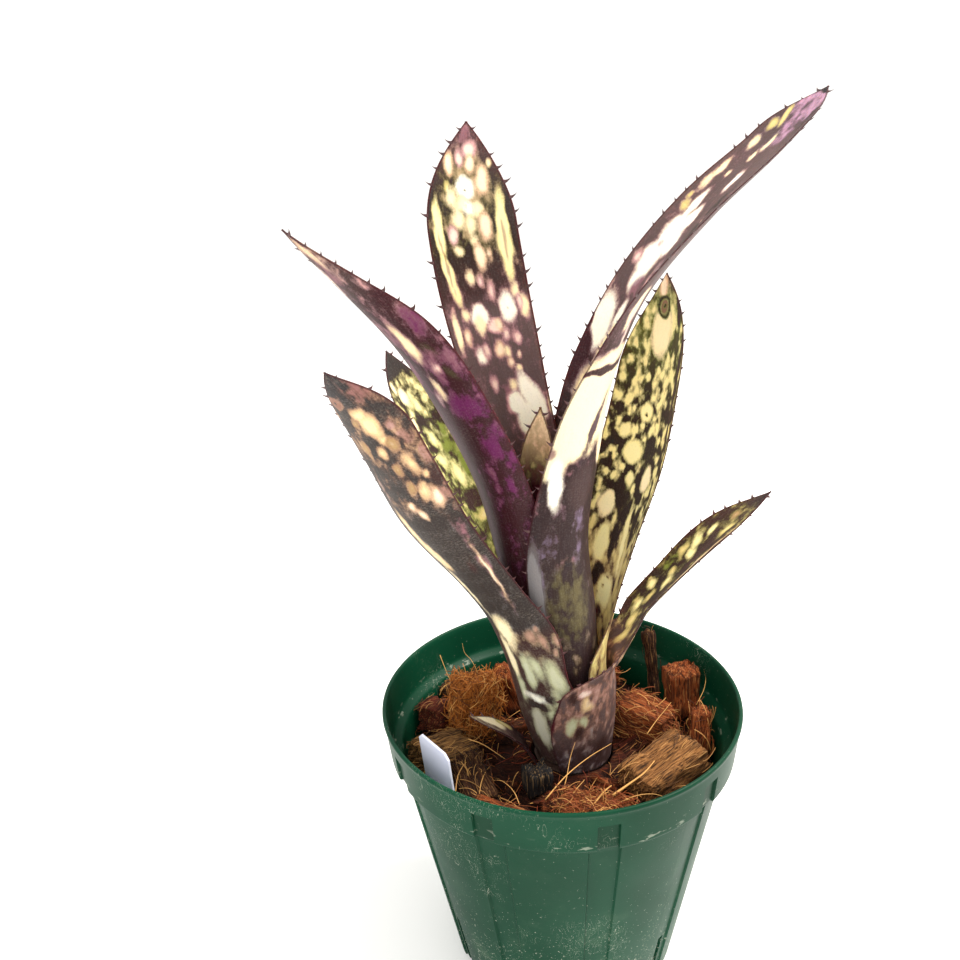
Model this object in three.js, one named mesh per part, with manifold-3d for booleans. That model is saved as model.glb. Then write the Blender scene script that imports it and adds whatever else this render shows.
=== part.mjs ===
// Huay sok white billbergia, a tubular spotted bromeliad, growing in a green plastic nursery pot.
// Millimetres, +Z up. The origin is the centre of the pot's underside.
// A heading of 0 degrees points to the front, along -Y, and 90 degrees points to the right, along +X.
import * as THREE from 'three';
import { mergeVertices } from 'three/addons/utils/BufferGeometryUtils.js';
import Module from 'manifold-3d';

const wasm = await Module();
wasm.setup();

// Driving dimensions of the pot
const POT_HEIGHT = 125;
const RIM_RADIUS = 75;
const LIP_THICKNESS = 1.5;
const BAND_HEIGHT = 19;
const BAND_FOOT_RADIUS = 73;
const WALL_TOP_RADIUS = 69.7;
const FOOT_RADIUS = 49.6;
const WALL_THICKNESS = 2;
const FLOOR_THICKNESS = 2.4;
const STRIP_COUNT = 10;
const STRIP_PHASE = 8;
const STRIP_WIDTH_ANGLE = 10.5;
const STRIP_DEPTH = 0.9;
const STRIP_STEP_ANGLE = 0.5;
const NOTCH_WIDTH = 8.5;
const NOTCH_HEIGHT = 12;
const NOTCH_DEPTH = 0.6;
const SLIT_WIDTH = 3;
const SLIT_HEIGHT = 28;
const SLIT_INNER_RADIUS = 38;
const FOOT_CHAMFER = 1.2;
const BAND_CHAMFER = 0.5;
const STRIP_TOP_GAP = 2;
const INNER_LEDGE_HEIGHT = 3;

// Driving dimensions of the plant and the mix
const CLEARANCE = 0.35;
const MIX_LEVEL = 98;
const BLADE_THICKNESS = 0.8;
const LAYER_STEP = 1.8;
const TUBE_FOOT = 96;
const TUBE_FOOT_RADIUS = 16.5;
const TUBE_FLARE = 9.5;
const TUBE_FLARE_LENGTH = 38;
const TUBE_FOOT_X = 5;
const TUBE_LEAN = 0.106;
const TOOTH_PITCH = 9;
const TOOTH_LENGTH = 2.3;
const TOOTH_ROOT_DEPTH = 0.45;
const TOOTH_ROOT_HALF = 0.5;
const TOOTH_ROOT_LIFT = 0.36;
const TOOTH_SWEEP = 0.4;
const LEAF_COLUMNS = 12;
const ROWS_PER_STATION = 2;
const TIP_ROWS = [0.5, 0.75, 0.9];
const TIP_HALF_WIDTH = 0.35;
const LENGTH_STEPS = 12;
const PLACE_STEP = 0.02;
const BEND_STATIONS = 1.5;
const NEAR_MARGIN = 0.98;
const TOOTHLESS_TIP = 0.06;
const HEART_LAYER = 8;
const STEM_FOOT = 84;
const STEM_FOOT_RADIUS = 12;
const ROUND_SIDES = 16;
const FACET_SHRINK = 0.978;
const MIX_WALL_MARGIN = 0.3;
const MIX_TOP = 130;
const ROOM_STEP = 6;
const BASAL_ROOM_DEPTH = 13;
const BASAL_ROOM_WIDTH = 18;
const CHIP_UNEVENNESS = 0.25;
const RING_UNEVENNESS = 0.6;
const RING_SPREAD = 4;
const SMALL_CHIP_SIZE = [[9, 6], [6, 5], [7, 4]];
const SMALL_CHIP_LIFT = 1.5;
const SMALL_CHIP_TIP = 50;
const LABEL_WIDTH = 20;
const LABEL_THICKNESS = 0.8;
const LABEL_TOP = 130;
const LABEL_FOOT = 88;
const LABEL_CUT = 2.2;
const LABEL_HEADING = -54;
const LABEL_RADIUS = 64.5;
const LABEL_LEAN = 5;

const rad = THREE.MathUtils.degToRad;

// Solids and meshes
function solidOf(geometry) {
  const bare = geometry.clone();
  for (const name of Object.keys(bare.attributes)) {
    if (name !== 'position') bare.deleteAttribute(name);
  }
  const merged = mergeVertices(bare, 1e-4);
  return new wasm.Manifold(new wasm.Mesh({
    numProp: 3,
    vertProperties: new Float32Array(merged.attributes.position.array),
    triVerts: new Uint32Array(merged.index.array),
  }));
}

function solidFromFaces(points, faces) {
  const places = points.flatMap((p) => [p.x, p.y, p.z]);
  const geometry = new THREE.BufferGeometry();
  geometry.setAttribute('position', new THREE.Float32BufferAttribute(places, 3));
  geometry.setIndex(faces.flat());
  return solidOf(geometry);
}

function named(name, solid, material) {
  const mesh = solid.getMesh();
  const geometry = new THREE.BufferGeometry();
  geometry.setAttribute('position', new THREE.BufferAttribute(mesh.vertProperties, 3));
  geometry.setIndex(new THREE.BufferAttribute(mesh.triVerts, 1));
  geometry.computeVertexNormals();
  const out = new THREE.Mesh(geometry, material);
  out.name = name;
  return out;
}

function finish(color, roughness) {
  return new THREE.MeshStandardMaterial({ color, roughness, metalness: 0 });
}

function joined(solids) {
  return solids.reduce((sum, next) => sum.add(next));
}

// A repeatable draw between 0 and 1
function seeded(seed) {
  let state = seed;
  return () => {
    state = (state * 16807) % 2147483647;
    return state / 2147483647;
  };
}

function headingVector(heading) {
  return new THREE.Vector3(Math.sin(rad(heading)), -Math.cos(rad(heading)), 0);
}

// Pot: one closed shell, built as a ring of profiles with shallow recessed strips down its wall
function potProfile(recess) {
  const bandFoot = POT_HEIGHT - BAND_HEIGHT;
  return [
    [FOOT_RADIUS - FOOT_CHAMFER - recess, 0],
    [FOOT_RADIUS - recess, FOOT_CHAMFER],
    [WALL_TOP_RADIUS - BAND_CHAMFER - recess, bandFoot - STRIP_TOP_GAP],
    [WALL_TOP_RADIUS, bandFoot],
    [BAND_FOOT_RADIUS - BAND_CHAMFER, bandFoot],
    [BAND_FOOT_RADIUS, bandFoot + BAND_CHAMFER],
    [RIM_RADIUS, POT_HEIGHT - BAND_CHAMFER],
    [RIM_RADIUS - BAND_CHAMFER, POT_HEIGHT],
    [RIM_RADIUS - LIP_THICKNESS, POT_HEIGHT],
    [BAND_FOOT_RADIUS - LIP_THICKNESS, bandFoot + INNER_LEDGE_HEIGHT],
    [WALL_TOP_RADIUS - WALL_THICKNESS, bandFoot],
    [FOOT_RADIUS - WALL_THICKNESS, FLOOR_THICKNESS],
  ];
}

function potColumns() {
  const half = STRIP_WIDTH_ANGLE / 2;
  const pitch = 360 / STRIP_COUNT;
  const panel = pitch - STRIP_WIDTH_ANGLE;
  const columns = [];
  for (let i = 0; i < STRIP_COUNT; i++) {
    const middle = STRIP_PHASE + i * pitch;
    columns.push([middle - half, 0]);
    columns.push([middle - half + STRIP_STEP_ANGLE, STRIP_DEPTH]);
    columns.push([middle + half - STRIP_STEP_ANGLE, STRIP_DEPTH]);
    columns.push([middle + half, 0]);
    columns.push([middle + half + panel / 3, 0]);
    columns.push([middle + half + (panel * 2) / 3, 0]);
  }
  return columns;
}

function potShell() {
  const points = [];
  const faces = [];
  const columns = potColumns();
  const rows = potProfile(0).length;
  for (const [angle, recess] of columns) {
    const out = headingVector(angle);
    for (const [radius, z] of potProfile(recess)) {
      points.push(out.clone().multiplyScalar(radius).setZ(z));
    }
  }
  const underside = points.push(new THREE.Vector3(0, 0, 0)) - 1;
  const floor = points.push(new THREE.Vector3(0, 0, FLOOR_THICKNESS)) - 1;
  for (let i = 0; i < columns.length; i++) {
    const a = i * rows;
    const b = ((i + 1) % columns.length) * rows;
    for (let j = 0; j < rows - 1; j++) {
      faces.push([a + j, b + j, b + j + 1], [a + j, b + j + 1, a + j + 1]);
    }
    faces.push([a, underside, b]);
    faces.push([a + rows - 1, b + rows - 1, floor]);
  }
  return solidFromFaces(points, faces);
}

// A box on a heading: it runs between two radii at its foot, and it leans out by an angle from there
function radialBox(heading, fromRadius, toRadius, width, fromZ, toZ, lean = 0, centreX = 0) {
  const box = new THREE.BoxGeometry(width, toRadius - fromRadius, toZ - fromZ);
  box.translate(0, -(toRadius - fromRadius) / 2, (toZ - fromZ) / 2);
  box.rotateX(rad(lean));
  box.translate(0, -fromRadius, fromZ);
  box.rotateZ(rad(heading));
  box.translate(centreX, 0, 0);
  return solidOf(box);
}

function pot() {
  const bandFoot = POT_HEIGHT - BAND_HEIGHT;
  const pitch = 360 / STRIP_COUNT;
  const bandLean = THREE.MathUtils.radToDeg(Math.atan((RIM_RADIUS - BAND_FOOT_RADIUS) / BAND_HEIGHT));
  const notchFloor = BAND_FOOT_RADIUS - NOTCH_DEPTH;
  const notchTop = bandFoot + NOTCH_HEIGHT;
  let body = potShell();
  for (let i = 0; i < STRIP_COUNT; i++) {
    const heading = STRIP_PHASE + i * pitch;
    const notch = radialBox(heading, notchFloor, RIM_RADIUS, NOTCH_WIDTH, bandFoot - 1, notchTop, bandLean);
    const slit = radialBox(heading, SLIT_INNER_RADIUS, RIM_RADIUS, SLIT_WIDTH, -1, SLIT_HEIGHT);
    body = body.subtract(notch).subtract(slit);
  }
  return body;
}

// The plant's tube: the sheaths are nested rings round one slightly leaning axis
function tubeAxis(z) {
  return new THREE.Vector3(TUBE_FOOT_X - TUBE_LEAN * (z - TUBE_FOOT), 0, z);
}

function tubeRadius(z, layer) {
  const rise = Math.max(z - TUBE_FOOT, 0);
  const flare = TUBE_FLARE * (1 - Math.exp(-rise / TUBE_FLARE_LENGTH));
  return TUBE_FOOT_RADIUS + flare - layer * LAYER_STEP;
}

// A station where the leaf is a sheath: it wraps the tube by an angle on each side of its keel
function sheathStation(heading, layer, z, wrap) {
  const radius = tubeRadius(z, layer);
  const keel = tubeAxis(z).add(headingVector(heading).multiplyScalar(radius));
  return [keel.x, keel.y, keel.z, radius * rad(wrap), wrap, 0];
}

// The leaves from the outermost sheath to the innermost, and last the short leaf at the foot.
// A sheath row holds a height and the wrap in degrees.
// A blade row holds the keel's x, y and z, the half width laid flat, and the cup and roll in degrees.
// Shoulder rows are station numbers of added rows, where a wide sheath narrows fast to its blade.
const LEAVES = [
  {
    name: 'leaf_right_low',
    color: 0x4a2c38,
    heading: 105,
    layer: 0,
    tipLength: 30,
    teethFrom: 2.4,
    shoulderRows: [3.25, 3.75],
    sheath: [[96, 128], [115, 129], [130, 117], [141, 98]],
    blade: [
      [29.5, 4.5, 149, 12, 40, -4],
      [37, 8.5, 158, 11.5, 44, -10],
      [48, 10.5, 170, 10.5, 40, -6],
      [61, 12, 184, 10, 32, 0],
      [75, 13, 196, 9, 26, 0],
      [89, 13, 207, 7, 20, 0],
    ],
  },
  {
    name: 'leaf_left_low',
    color: 0x5b4a4c,
    heading: -58,
    layer: 1,
    tipLength: 28,
    teethFrom: 2.6,
    sheath: [[98.5, 117], [118, 97], [142, 65]],
    blade: [
      [-24.5, -11, 162, 26, 66, 0],
      [-33, -17, 182, 20, 52, 12],
      [-48.5, -29, 212, 18, 42, 24],
      [-58.5, -40, 243, 15.5, 34, 28],
      [-66.5, -49, 265.5, 14.5, 30, 28],
      [-75.5, -56, 281, 13.5, 28, 28],
    ],
  },
  {
    name: 'leaf_right_back',
    color: 0x9a9a58,
    heading: 122,
    layer: 2,
    tipLength: 40,
    teethFrom: 2,
    sheath: [[102, 104], [125, 92], [148, 85]],
    blade: [
      [21, 14, 166, 17, 47, 0],
      [28.5, 21, 190, 21, 48, 0],
      [38.5, 26, 220, 21, 42, 0],
      [44.5, 31, 250, 19, 34, 0],
      [48.5, 36, 275, 17.5, 30, 0],
      [50, 40, 293, 16, 26, 0],
    ],
  },
  {
    name: 'leaf_left_back',
    color: 0x8a8450,
    heading: -128,
    layer: 3,
    tipLength: 28,
    teethFrom: 2,
    sheath: [[106, 98], [128, 92], [152, 70]],
    blade: [
      [-22, 17.2, 175, 16, 43, 0],
      [-33, 24, 200, 15.5, 42, 0],
      [-46, 29, 227, 14, 38, 0],
      [-58, 33, 250, 12.5, 30, 0],
      [-65, 35, 268, 11, 26, 0],
    ],
  },
  {
    name: 'leaf_right_arch',
    color: 0x5e4a58,
    heading: 84,
    layer: 4,
    tipLength: 24,
    teethFrom: 2.4,
    sheath: [[111, 118], [135, 116], [165, 114], [200, 106]],
    blade: [
      [17.2, 0, 236, 27, 102, 0],
      [22.3, 2, 262, 23.5, 74, 6],
      [34, 5, 291, 19.5, 46, 11],
      [56.5, 9, 317.5, 17, 38, 16],
      [81, 14, 339, 13, 34, 20],
      [101, 18, 358.5, 11.5, 30, 22],
    ],
  },
  {
    name: 'leaf_left_arch',
    color: 0x5a2848,
    heading: -70,
    layer: 5,
    tipLength: 50,
    teethFrom: 2.4,
    sheath: [[116, 100], [138, 98], [165, 94]],
    blade: [
      [-23, -4.5, 192, 23.5, 90, 0],
      [-29.5, -3.5, 220, 23.5, 86, 0],
      [-40, -11, 250, 22, 65, 8],
      [-53, -19, 278, 19.5, 50, 14],
      [-70.5, -26, 301.5, 12, 48, 18],
      [-88.5, -30, 322, 6.5, 42, 24],
    ],
  },
  {
    name: 'leaf_tall_back',
    color: 0x54323c,
    heading: 184,
    layer: 6,
    tipLength: 38,
    teethFrom: 2.6,
    sheath: [[121, 90], [145, 84], [175, 74]],
    blade: [
      [-5.5, 15, 205, 15, 60, 0],
      [-10.5, 16, 235, 13.5, 44, 0],
      [-19, 19, 265, 16.5, 32, 0],
      [-25, 23, 295, 17.5, 26, 0],
      [-28.5, 27, 325, 17, 22, 0],
      [-28, 31, 353, 16, 20, 0],
    ],
  },
  {
    name: 'leaf_heart',
    color: 0xa08a68,
    heading: 160,
    layer: 8,
    tipLength: 26,
    teethFrom: 3.4,
    sheath: [[126, 150], [150, 140]],
    blade: [
      [-2, 7, 180, 18, 130, 0],
      [-4, 6.5, 210, 14, 100, 0],
      [-5.5, 5, 232, 9, 70, 0],
      [-5, 3, 250, 6, 50, 0],
    ],
  },
  {
    name: 'leaf_basal',
    color: 0x6a4a52,
    heading: -75,
    layer: -1.2,
    tipLength: 16,
    teethFrom: 1.5,
    sheath: [[97, 22]],
    blade: [
      [-16.5, -6.5, 104, 7, 25, 0],
      [-22, -9, 111, 6.5, 30, 0],
      [-29.5, -11.5, 118, 5.5, 30, 0],
      [-38.5, -14, 125, 4, 25, 0],
    ],
  },
];

// Reads a list of numbers as one smooth curve over its stations
function smooth(values, at) {
  const last = values.length - 1;
  const i = Math.min(Math.floor(at), last - 1);
  const t = at - i;
  const p1 = values[i];
  const p2 = values[i + 1];
  const m1 = i > 0 ? (p2 - values[i - 1]) / 2 : p2 - p1;
  const m2 = i + 2 <= last ? (values[i + 2] - p1) / 2 : p2 - p1;
  const t2 = t * t;
  const t3 = t2 * t;
  return (2 * t3 - 3 * t2 + 1) * p1 + (t3 - 2 * t2 + t) * m1 + (-2 * t3 + 3 * t2) * p2 + (t3 - t2) * m2;
}

// The frame of a leaf at a station number: keel point, side and inward directions, arc radius and cup
function leafSection(leaf, at) {
  const column = (k) => leaf.stations.map((station) => station[k]);
  const spot = (u) => new THREE.Vector3(smooth(column(0), u), smooth(column(1), u), smooth(column(2), u));
  const last = leaf.stations.length - 1;
  const ahead = spot(Math.min(at + PLACE_STEP, last));
  const behind = spot(Math.max(at - PLACE_STEP, 0));
  const sheathEnd = leaf.sheath.length - 1;
  const bend = THREE.MathUtils.smoothstep(at, sheathEnd, sheathEnd + BEND_STATIONS);
  const along = new THREE.Vector3(0, 0, 1).lerp(ahead.sub(behind).normalize(), bend).normalize();
  const heading = rad(leaf.heading);
  const level = new THREE.Vector3(Math.cos(heading), Math.sin(heading), 0);
  const side = level.addScaledVector(along, -level.dot(along)).normalize();
  const inward = new THREE.Vector3().crossVectors(along, side);
  const roll = rad(smooth(column(5), at));
  const rolledSide = side.clone().multiplyScalar(Math.cos(roll)).addScaledVector(inward, Math.sin(roll));
  const rolledInward = inward.clone().multiplyScalar(Math.cos(roll)).addScaledVector(side, -Math.sin(roll));
  const toTip = leaf.lengthFrom(at) / leaf.tipLength;
  const taper = toTip < 1 ? 1 - (1 - toTip) * (1 - toTip) : 1;
  const halfWidth = Math.max(smooth(column(3), at) * taper, TIP_HALF_WIDTH);
  const cup = rad(smooth(column(4), at));
  const radius = smooth(column(3), at) / cup;
  return {
    keel: spot(at), along, side: rolledSide, inward: rolledInward, radius, spread: halfWidth / radius,
  };
}

// The point of a leaf's middle surface at a section, across from -1 at one margin to 1 at the other
function leafPoint(section, across) {
  const angle = across * section.spread;
  const out = section.keel.clone();
  out.addScaledVector(section.side, section.radius * Math.sin(angle));
  out.addScaledVector(section.inward, section.radius * (1 - Math.cos(angle)));
  return out;
}

function leafNormal(section, across) {
  const angle = across * section.spread;
  return section.inward.clone().multiplyScalar(Math.cos(angle)).addScaledVector(section.side, -Math.sin(angle));
}

// Adds a leaf's stations from base to tip, and its running length from each of them to the tip
function measured(plan) {
  const wrapped = plan.sheath.map(([z, wrap]) => sheathStation(plan.heading, plan.layer, z, wrap));
  const leaf = { ...plan, stations: [...wrapped, ...plan.blade] };
  const last = leaf.stations.length - 1;
  const steps = last * LENGTH_STEPS;
  const column = (k) => leaf.stations.map((station) => station[k]);
  const spot = (u) => new THREE.Vector3(smooth(column(0), u), smooth(column(1), u), smooth(column(2), u));
  const sums = [0];
  for (let i = 1; i <= steps; i++) {
    const from = spot(last - (last * (i - 1)) / steps);
    sums.push(sums[i - 1] + spot(last - (last * i) / steps).distanceTo(from));
  }
  const lengthFrom = (at) => {
    const place = ((last - at) / last) * steps;
    const i = Math.min(Math.floor(place), steps - 1);
    return sums[i] + (sums[i + 1] - sums[i]) * (place - i);
  };
  return { ...leaf, lengthFrom };
}

// One closed blade: the inner and outer faces share a grid, split into triangles alike
function blade(leaf) {
  const last = leaf.stations.length - 1;
  const places = [];
  for (let i = 0; i <= (last - 1) * ROWS_PER_STATION; i++) {
    places.push(i / ROWS_PER_STATION);
  }
  for (const step of TIP_ROWS) {
    places.push(last - 1 + step);
  }
  places.push(...(leaf.shoulderRows ?? []), last);
  places.sort((a, b) => a - b);
  const points = [];
  const faces = [];
  const width = LEAF_COLUMNS + 1;
  const index = (row, column, face) => (row * width + column) * 2 + face;
  for (const place of places) {
    const section = leafSection(leaf, place);
    for (let c = 0; c < width; c++) {
      const across = (2 * c) / LEAF_COLUMNS - 1;
      const middle = leafPoint(section, across);
      const normal = leafNormal(section, across);
      points.push(middle.clone().addScaledVector(normal, BLADE_THICKNESS / 2));
      points.push(middle.clone().addScaledVector(normal, -BLADE_THICKNESS / 2));
    }
  }
  const quad = (a, b, c, d) => faces.push([a, b, c], [a, c, d]);
  const rows = places.length;
  for (let r = 0; r < rows - 1; r++) {
    for (let c = 0; c < LEAF_COLUMNS; c++) {
      const [p, q] = [index(r, c, 0), index(r, c + 1, 0)];
      const [s, t] = [index(r + 1, c, 0), index(r + 1, c + 1, 0)];
      faces.push([p, t, q], [p, s, t]);
      faces.push([p + 1, q + 1, t + 1], [p + 1, t + 1, s + 1]);
    }
    const edge = LEAF_COLUMNS;
    quad(index(r, 0, 0), index(r, 0, 1), index(r + 1, 0, 1), index(r + 1, 0, 0));
    quad(index(r, edge, 0), index(r + 1, edge, 0), index(r + 1, edge, 1), index(r, edge, 1));
  }
  for (let c = 0; c < LEAF_COLUMNS; c++) {
    quad(index(0, c, 0), index(0, c + 1, 0), index(0, c + 1, 1), index(0, c, 1));
    quad(index(rows - 1, c, 0), index(rows - 1, c, 1), index(rows - 1, c + 1, 1), index(rows - 1, c + 1, 0));
  }
  return solidFromFaces(points, faces);
}

// A three-sided tooth that stands out of a margin and leans to the tip, its root sunk in the blade
function tooth(leaf, place, edge) {
  const length = TOOTH_LENGTH;
  const section = leafSection(leaf, place);
  const margin = leafPoint(section, edge);
  const normal = leafNormal(section, edge);
  const along = section.along;
  const outward = margin.clone().sub(leafPoint(section, edge * NEAR_MARGIN)).normalize();
  const root = margin.clone().addScaledVector(outward, -length * TOOTH_ROOT_DEPTH);
  const half = length * TOOTH_ROOT_HALF;
  const lift = BLADE_THICKNESS * TOOTH_ROOT_LIFT;
  const points = [
    root.clone().addScaledVector(along, -half).addScaledVector(normal, lift),
    root.clone().addScaledVector(along, half).addScaledVector(normal, lift),
    root.clone().addScaledVector(normal, -lift),
    margin.clone().addScaledVector(outward, length).addScaledVector(along, length * TOOTH_SWEEP),
  ];
  const faces = [[0, 1, 2], [0, 3, 1], [1, 3, 2], [2, 3, 0]];
  const turned = faces.map(([a, b, c]) => [a, c, b]);
  return solidFromFaces(points, edge > 0 ? turned : faces);
}

function teeth(leaf) {
  const out = [];
  const last = leaf.stations.length - 1;
  for (const edge of [-1, 1]) {
    let travelled = edge > 0 ? TOOTH_PITCH / 2 : 0;
    let before = leafPoint(leafSection(leaf, leaf.teethFrom), edge);
    for (let place = leaf.teethFrom; place < last - TOOTHLESS_TIP; place += PLACE_STEP) {
      const here = leafPoint(leafSection(leaf, place), edge);
      travelled += here.distanceTo(before);
      before = here;
      if (travelled >= TOOTH_PITCH) {
        travelled -= TOOTH_PITCH;
        out.push(tooth(leaf, place, edge));
      }
    }
  }
  return out;
}

function leafSolid(plan) {
  const leaf = measured(plan);
  return joined([blade(leaf), ...teeth(leaf)]);
}

// A round solid's outline of radius and height, turned about +Z
function turned(outline, sides) {
  const lathe = new THREE.LatheGeometry(outline.map(([radius, z]) => new THREE.Vector2(radius, z)), sides);
  return lathe.rotateX(Math.PI / 2);
}

// The same, turned about the plant's leaning axis
function turnedOnTubeAxis(outline, sides) {
  const lathe = turned(outline, sides);
  const position = lathe.attributes.position;
  for (let i = 0; i < position.count; i++) {
    position.setX(i, position.getX(i) + tubeAxis(position.getZ(i)).x);
  }
  return solidOf(lathe);
}

// The stem: a short stock with one step for each sheath, which stands just above that step
function stem() {
  const outline = [[0, STEM_FOOT], [STEM_FOOT_RADIUS, STEM_FOOT]];
  let radius = tubeRadius(TUBE_FOOT, 0);
  for (const leaf of LEAVES.filter((plan) => plan.layer >= 0)) {
    const [foot] = leaf.sheath[0];
    const ledge = foot - CLEARANCE;
    outline.push([radius, ledge]);
    const inside = tubeRadius(foot, leaf.layer) - BLADE_THICKNESS / 2;
    radius = inside * FACET_SHRINK - CLEARANCE;
    if (leaf.layer < HEART_LAYER) outline.push([radius, ledge]);
  }
  outline.push([0, outline[outline.length - 1][1]]);
  return turnedOnTubeAxis(outline, ROUND_SIDES);
}

// The room that the plant's foot takes up in the mix
function plantRoom() {
  const margin = BLADE_THICKNESS + CLEARANCE;
  const outline = [[0, STEM_FOOT - margin], [STEM_FOOT_RADIUS + margin, STEM_FOOT - margin]];
  for (let z = TUBE_FOOT - ROOM_STEP; z <= MIX_TOP + ROOM_STEP; z += ROOM_STEP) {
    outline.push([tubeRadius(z, 0) + margin, z]);
  }
  outline.push([0, outline[outline.length - 1][1]]);
  return turnedOnTubeAxis(outline, 2 * ROUND_SIDES);
}

// The room for the short leaf at the foot, which stands in the mix beside the tube
function basalLeafRoom() {
  const leaf = LEAVES[LEAVES.length - 1];
  const [foot] = leaf.sheath[0];
  const from = tubeRadius(foot, 0);
  const to = from + BASAL_ROOM_DEPTH;
  const floor = foot - CLEARANCE;
  return radialBox(leaf.heading, from, to, BASAL_ROOM_WIDTH, floor, POT_HEIGHT, 0, tubeAxis(foot).x);
}

// Label: a thin blank tag with cut top corners, pushed into the mix at the front left
function tagSolid(width, thickness, foot, top, cut) {
  const half = width / 2;
  const outline = new THREE.Shape();
  outline.moveTo(-half, foot);
  outline.lineTo(half, foot);
  outline.lineTo(half, top - cut);
  outline.lineTo(half - cut, top);
  outline.lineTo(-half + cut, top);
  outline.lineTo(-half, top - cut);
  const tag = new THREE.ExtrudeGeometry(outline, { depth: thickness, bevelEnabled: false });
  tag.translate(0, 0, -thickness / 2);
  tag.rotateX(Math.PI / 2);
  tag.translate(0, 0, -LABEL_TOP);
  tag.rotateX(rad(LABEL_LEAN));
  tag.translate(0, -LABEL_RADIUS, LABEL_TOP);
  tag.rotateZ(rad(LABEL_HEADING));
  return solidOf(tag);
}

// The space inside the pot, less a gap to its wall
function potInside(top) {
  const bandFoot = POT_HEIGHT - BAND_HEIGHT;
  const gap = CLEARANCE + MIX_WALL_MARGIN;
  const foot = FLOOR_THICKNESS + CLEARANCE;
  const outline = [
    [0, foot],
    [FOOT_RADIUS - WALL_THICKNESS - gap, foot],
    [WALL_TOP_RADIUS - WALL_THICKNESS - gap, bandFoot],
    [BAND_FOOT_RADIUS - LIP_THICKNESS - gap, bandFoot + INNER_LEDGE_HEIGHT + 1],
    [BAND_FOOT_RADIUS - LIP_THICKNESS - gap, top],
    [0, top],
  ];
  return solidOf(turned(outline, 2 * ROUND_SIDES));
}

// Potting mix: a filling with a level top, and coarse husk chips bedded in it
function mixFilling() {
  const reach = 2 * RIM_RADIUS;
  const block = new THREE.BoxGeometry(reach, reach, MIX_LEVEL);
  block.translate(0, 0, MIX_LEVEL / 2);
  return potInside(POT_HEIGHT).intersect(solidOf(block));
}

// A husk chip: a block with uneven corners, turned by its yaw and tipped by its pitch
function chip({ at, size, yaw, pitch }, draw) {
  const box = new THREE.BoxGeometry(...size);
  box.deleteAttribute('normal');
  box.deleteAttribute('uv');
  const merged = mergeVertices(box);
  const position = merged.attributes.position;
  const shift = () => 1 - CHIP_UNEVENNESS * draw();
  for (let i = 0; i < position.count; i++) {
    position.setXYZ(i, position.getX(i) * shift(), position.getY(i) * shift(), position.getZ(i) * shift());
  }
  merged.rotateY(rad(pitch));
  merged.rotateZ(rad(yaw));
  merged.translate(...at);
  return solidOf(merged);
}

// The chips that stand out, by place, size along, across and up, yaw and pitch
const MAIN_CHIPS = [
  { at: [-37, 18, 107], size: [20, 13, 28], yaw: 20, pitch: 8 },
  { at: [-54, 22, 101], size: [15, 13, 12], yaw: 60, pitch: 15 },
  { at: [-22, 36, 103], size: [11, 12, 20], yaw: 0, pitch: -20 },
  { at: [-50, -8, 101], size: [24, 19, 13], yaw: 40, pitch: 12 },
  { at: [-38, -24, 99], size: [24, 13, 12], yaw: 110, pitch: -10 },
  { at: [-27, -43, 98], size: [24, 8, 9], yaw: -25, pitch: 5 },
  { at: [-12, -27, 102], size: [9, 8, 12], yaw: 20, pitch: 0 },
  { at: [37, 8, 103], size: [21, 17, 20], yaw: -30, pitch: 10 },
  { at: [56, 22, 106], size: [18, 14, 21], yaw: 15, pitch: -8 },
  { at: [45, 35, 107], size: [8, 6, 34], yaw: 30, pitch: -6 },
  { at: [57, -6, 103], size: [13, 12, 17], yaw: 70, pitch: 20 },
  { at: [40, -25, 101], size: [32, 20, 17], yaw: 35, pitch: -8 },
  { at: [9, -46, 99], size: [26, 16, 12], yaw: -10, pitch: 6 },
  { at: [22, 48, 101], size: [18, 15, 14], yaw: 15, pitch: 10 },
  { at: [-5, 55, 99], size: [20, 14, 12], yaw: -20, pitch: -8 },
  { at: [-43, 42, 99], size: [16, 14, 13], yaw: 45, pitch: 0 },
];

// Small chips fill the gaps: they lie on rings round the plant, each drawn a little off its place
const SMALL_CHIP_RINGS = [{ radius: 30, count: 9 }, { radius: 45, count: 14 }, { radius: 57, count: 18 }];

function smallChips(draw) {
  const chips = [];
  for (const { radius, count } of SMALL_CHIP_RINGS) {
    for (let i = 0; i < count; i++) {
      const turn = (360 * (i + RING_UNEVENNESS * draw())) / count;
      const place = headingVector(turn).multiplyScalar(radius + RING_SPREAD * draw());
      const size = SMALL_CHIP_SIZE.map(([least, more]) => least + more * draw());
      const at = [place.x, place.y, MIX_LEVEL + SMALL_CHIP_LIFT * draw()];
      chips.push({ at, size, yaw: 360 * draw(), pitch: SMALL_CHIP_TIP * (draw() - 0.5) });
    }
  }
  return chips;
}

function pottingMix() {
  const draw = seeded(17);
  const chips = [...MAIN_CHIPS, ...smallChips(draw)].map((plan) => chip(plan, draw));
  const slot = LABEL_THICKNESS + 2 * CLEARANCE;
  const labelRoom = tagSolid(LABEL_WIDTH + 2 * CLEARANCE, slot, LABEL_FOOT - CLEARANCE, LABEL_TOP, 0.1);
  const bedded = joined(chips).intersect(potInside(MIX_TOP));
  return mixFilling().add(bedded).subtract(plantRoom()).subtract(labelRoom).subtract(basalLeafRoom());
}

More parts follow.
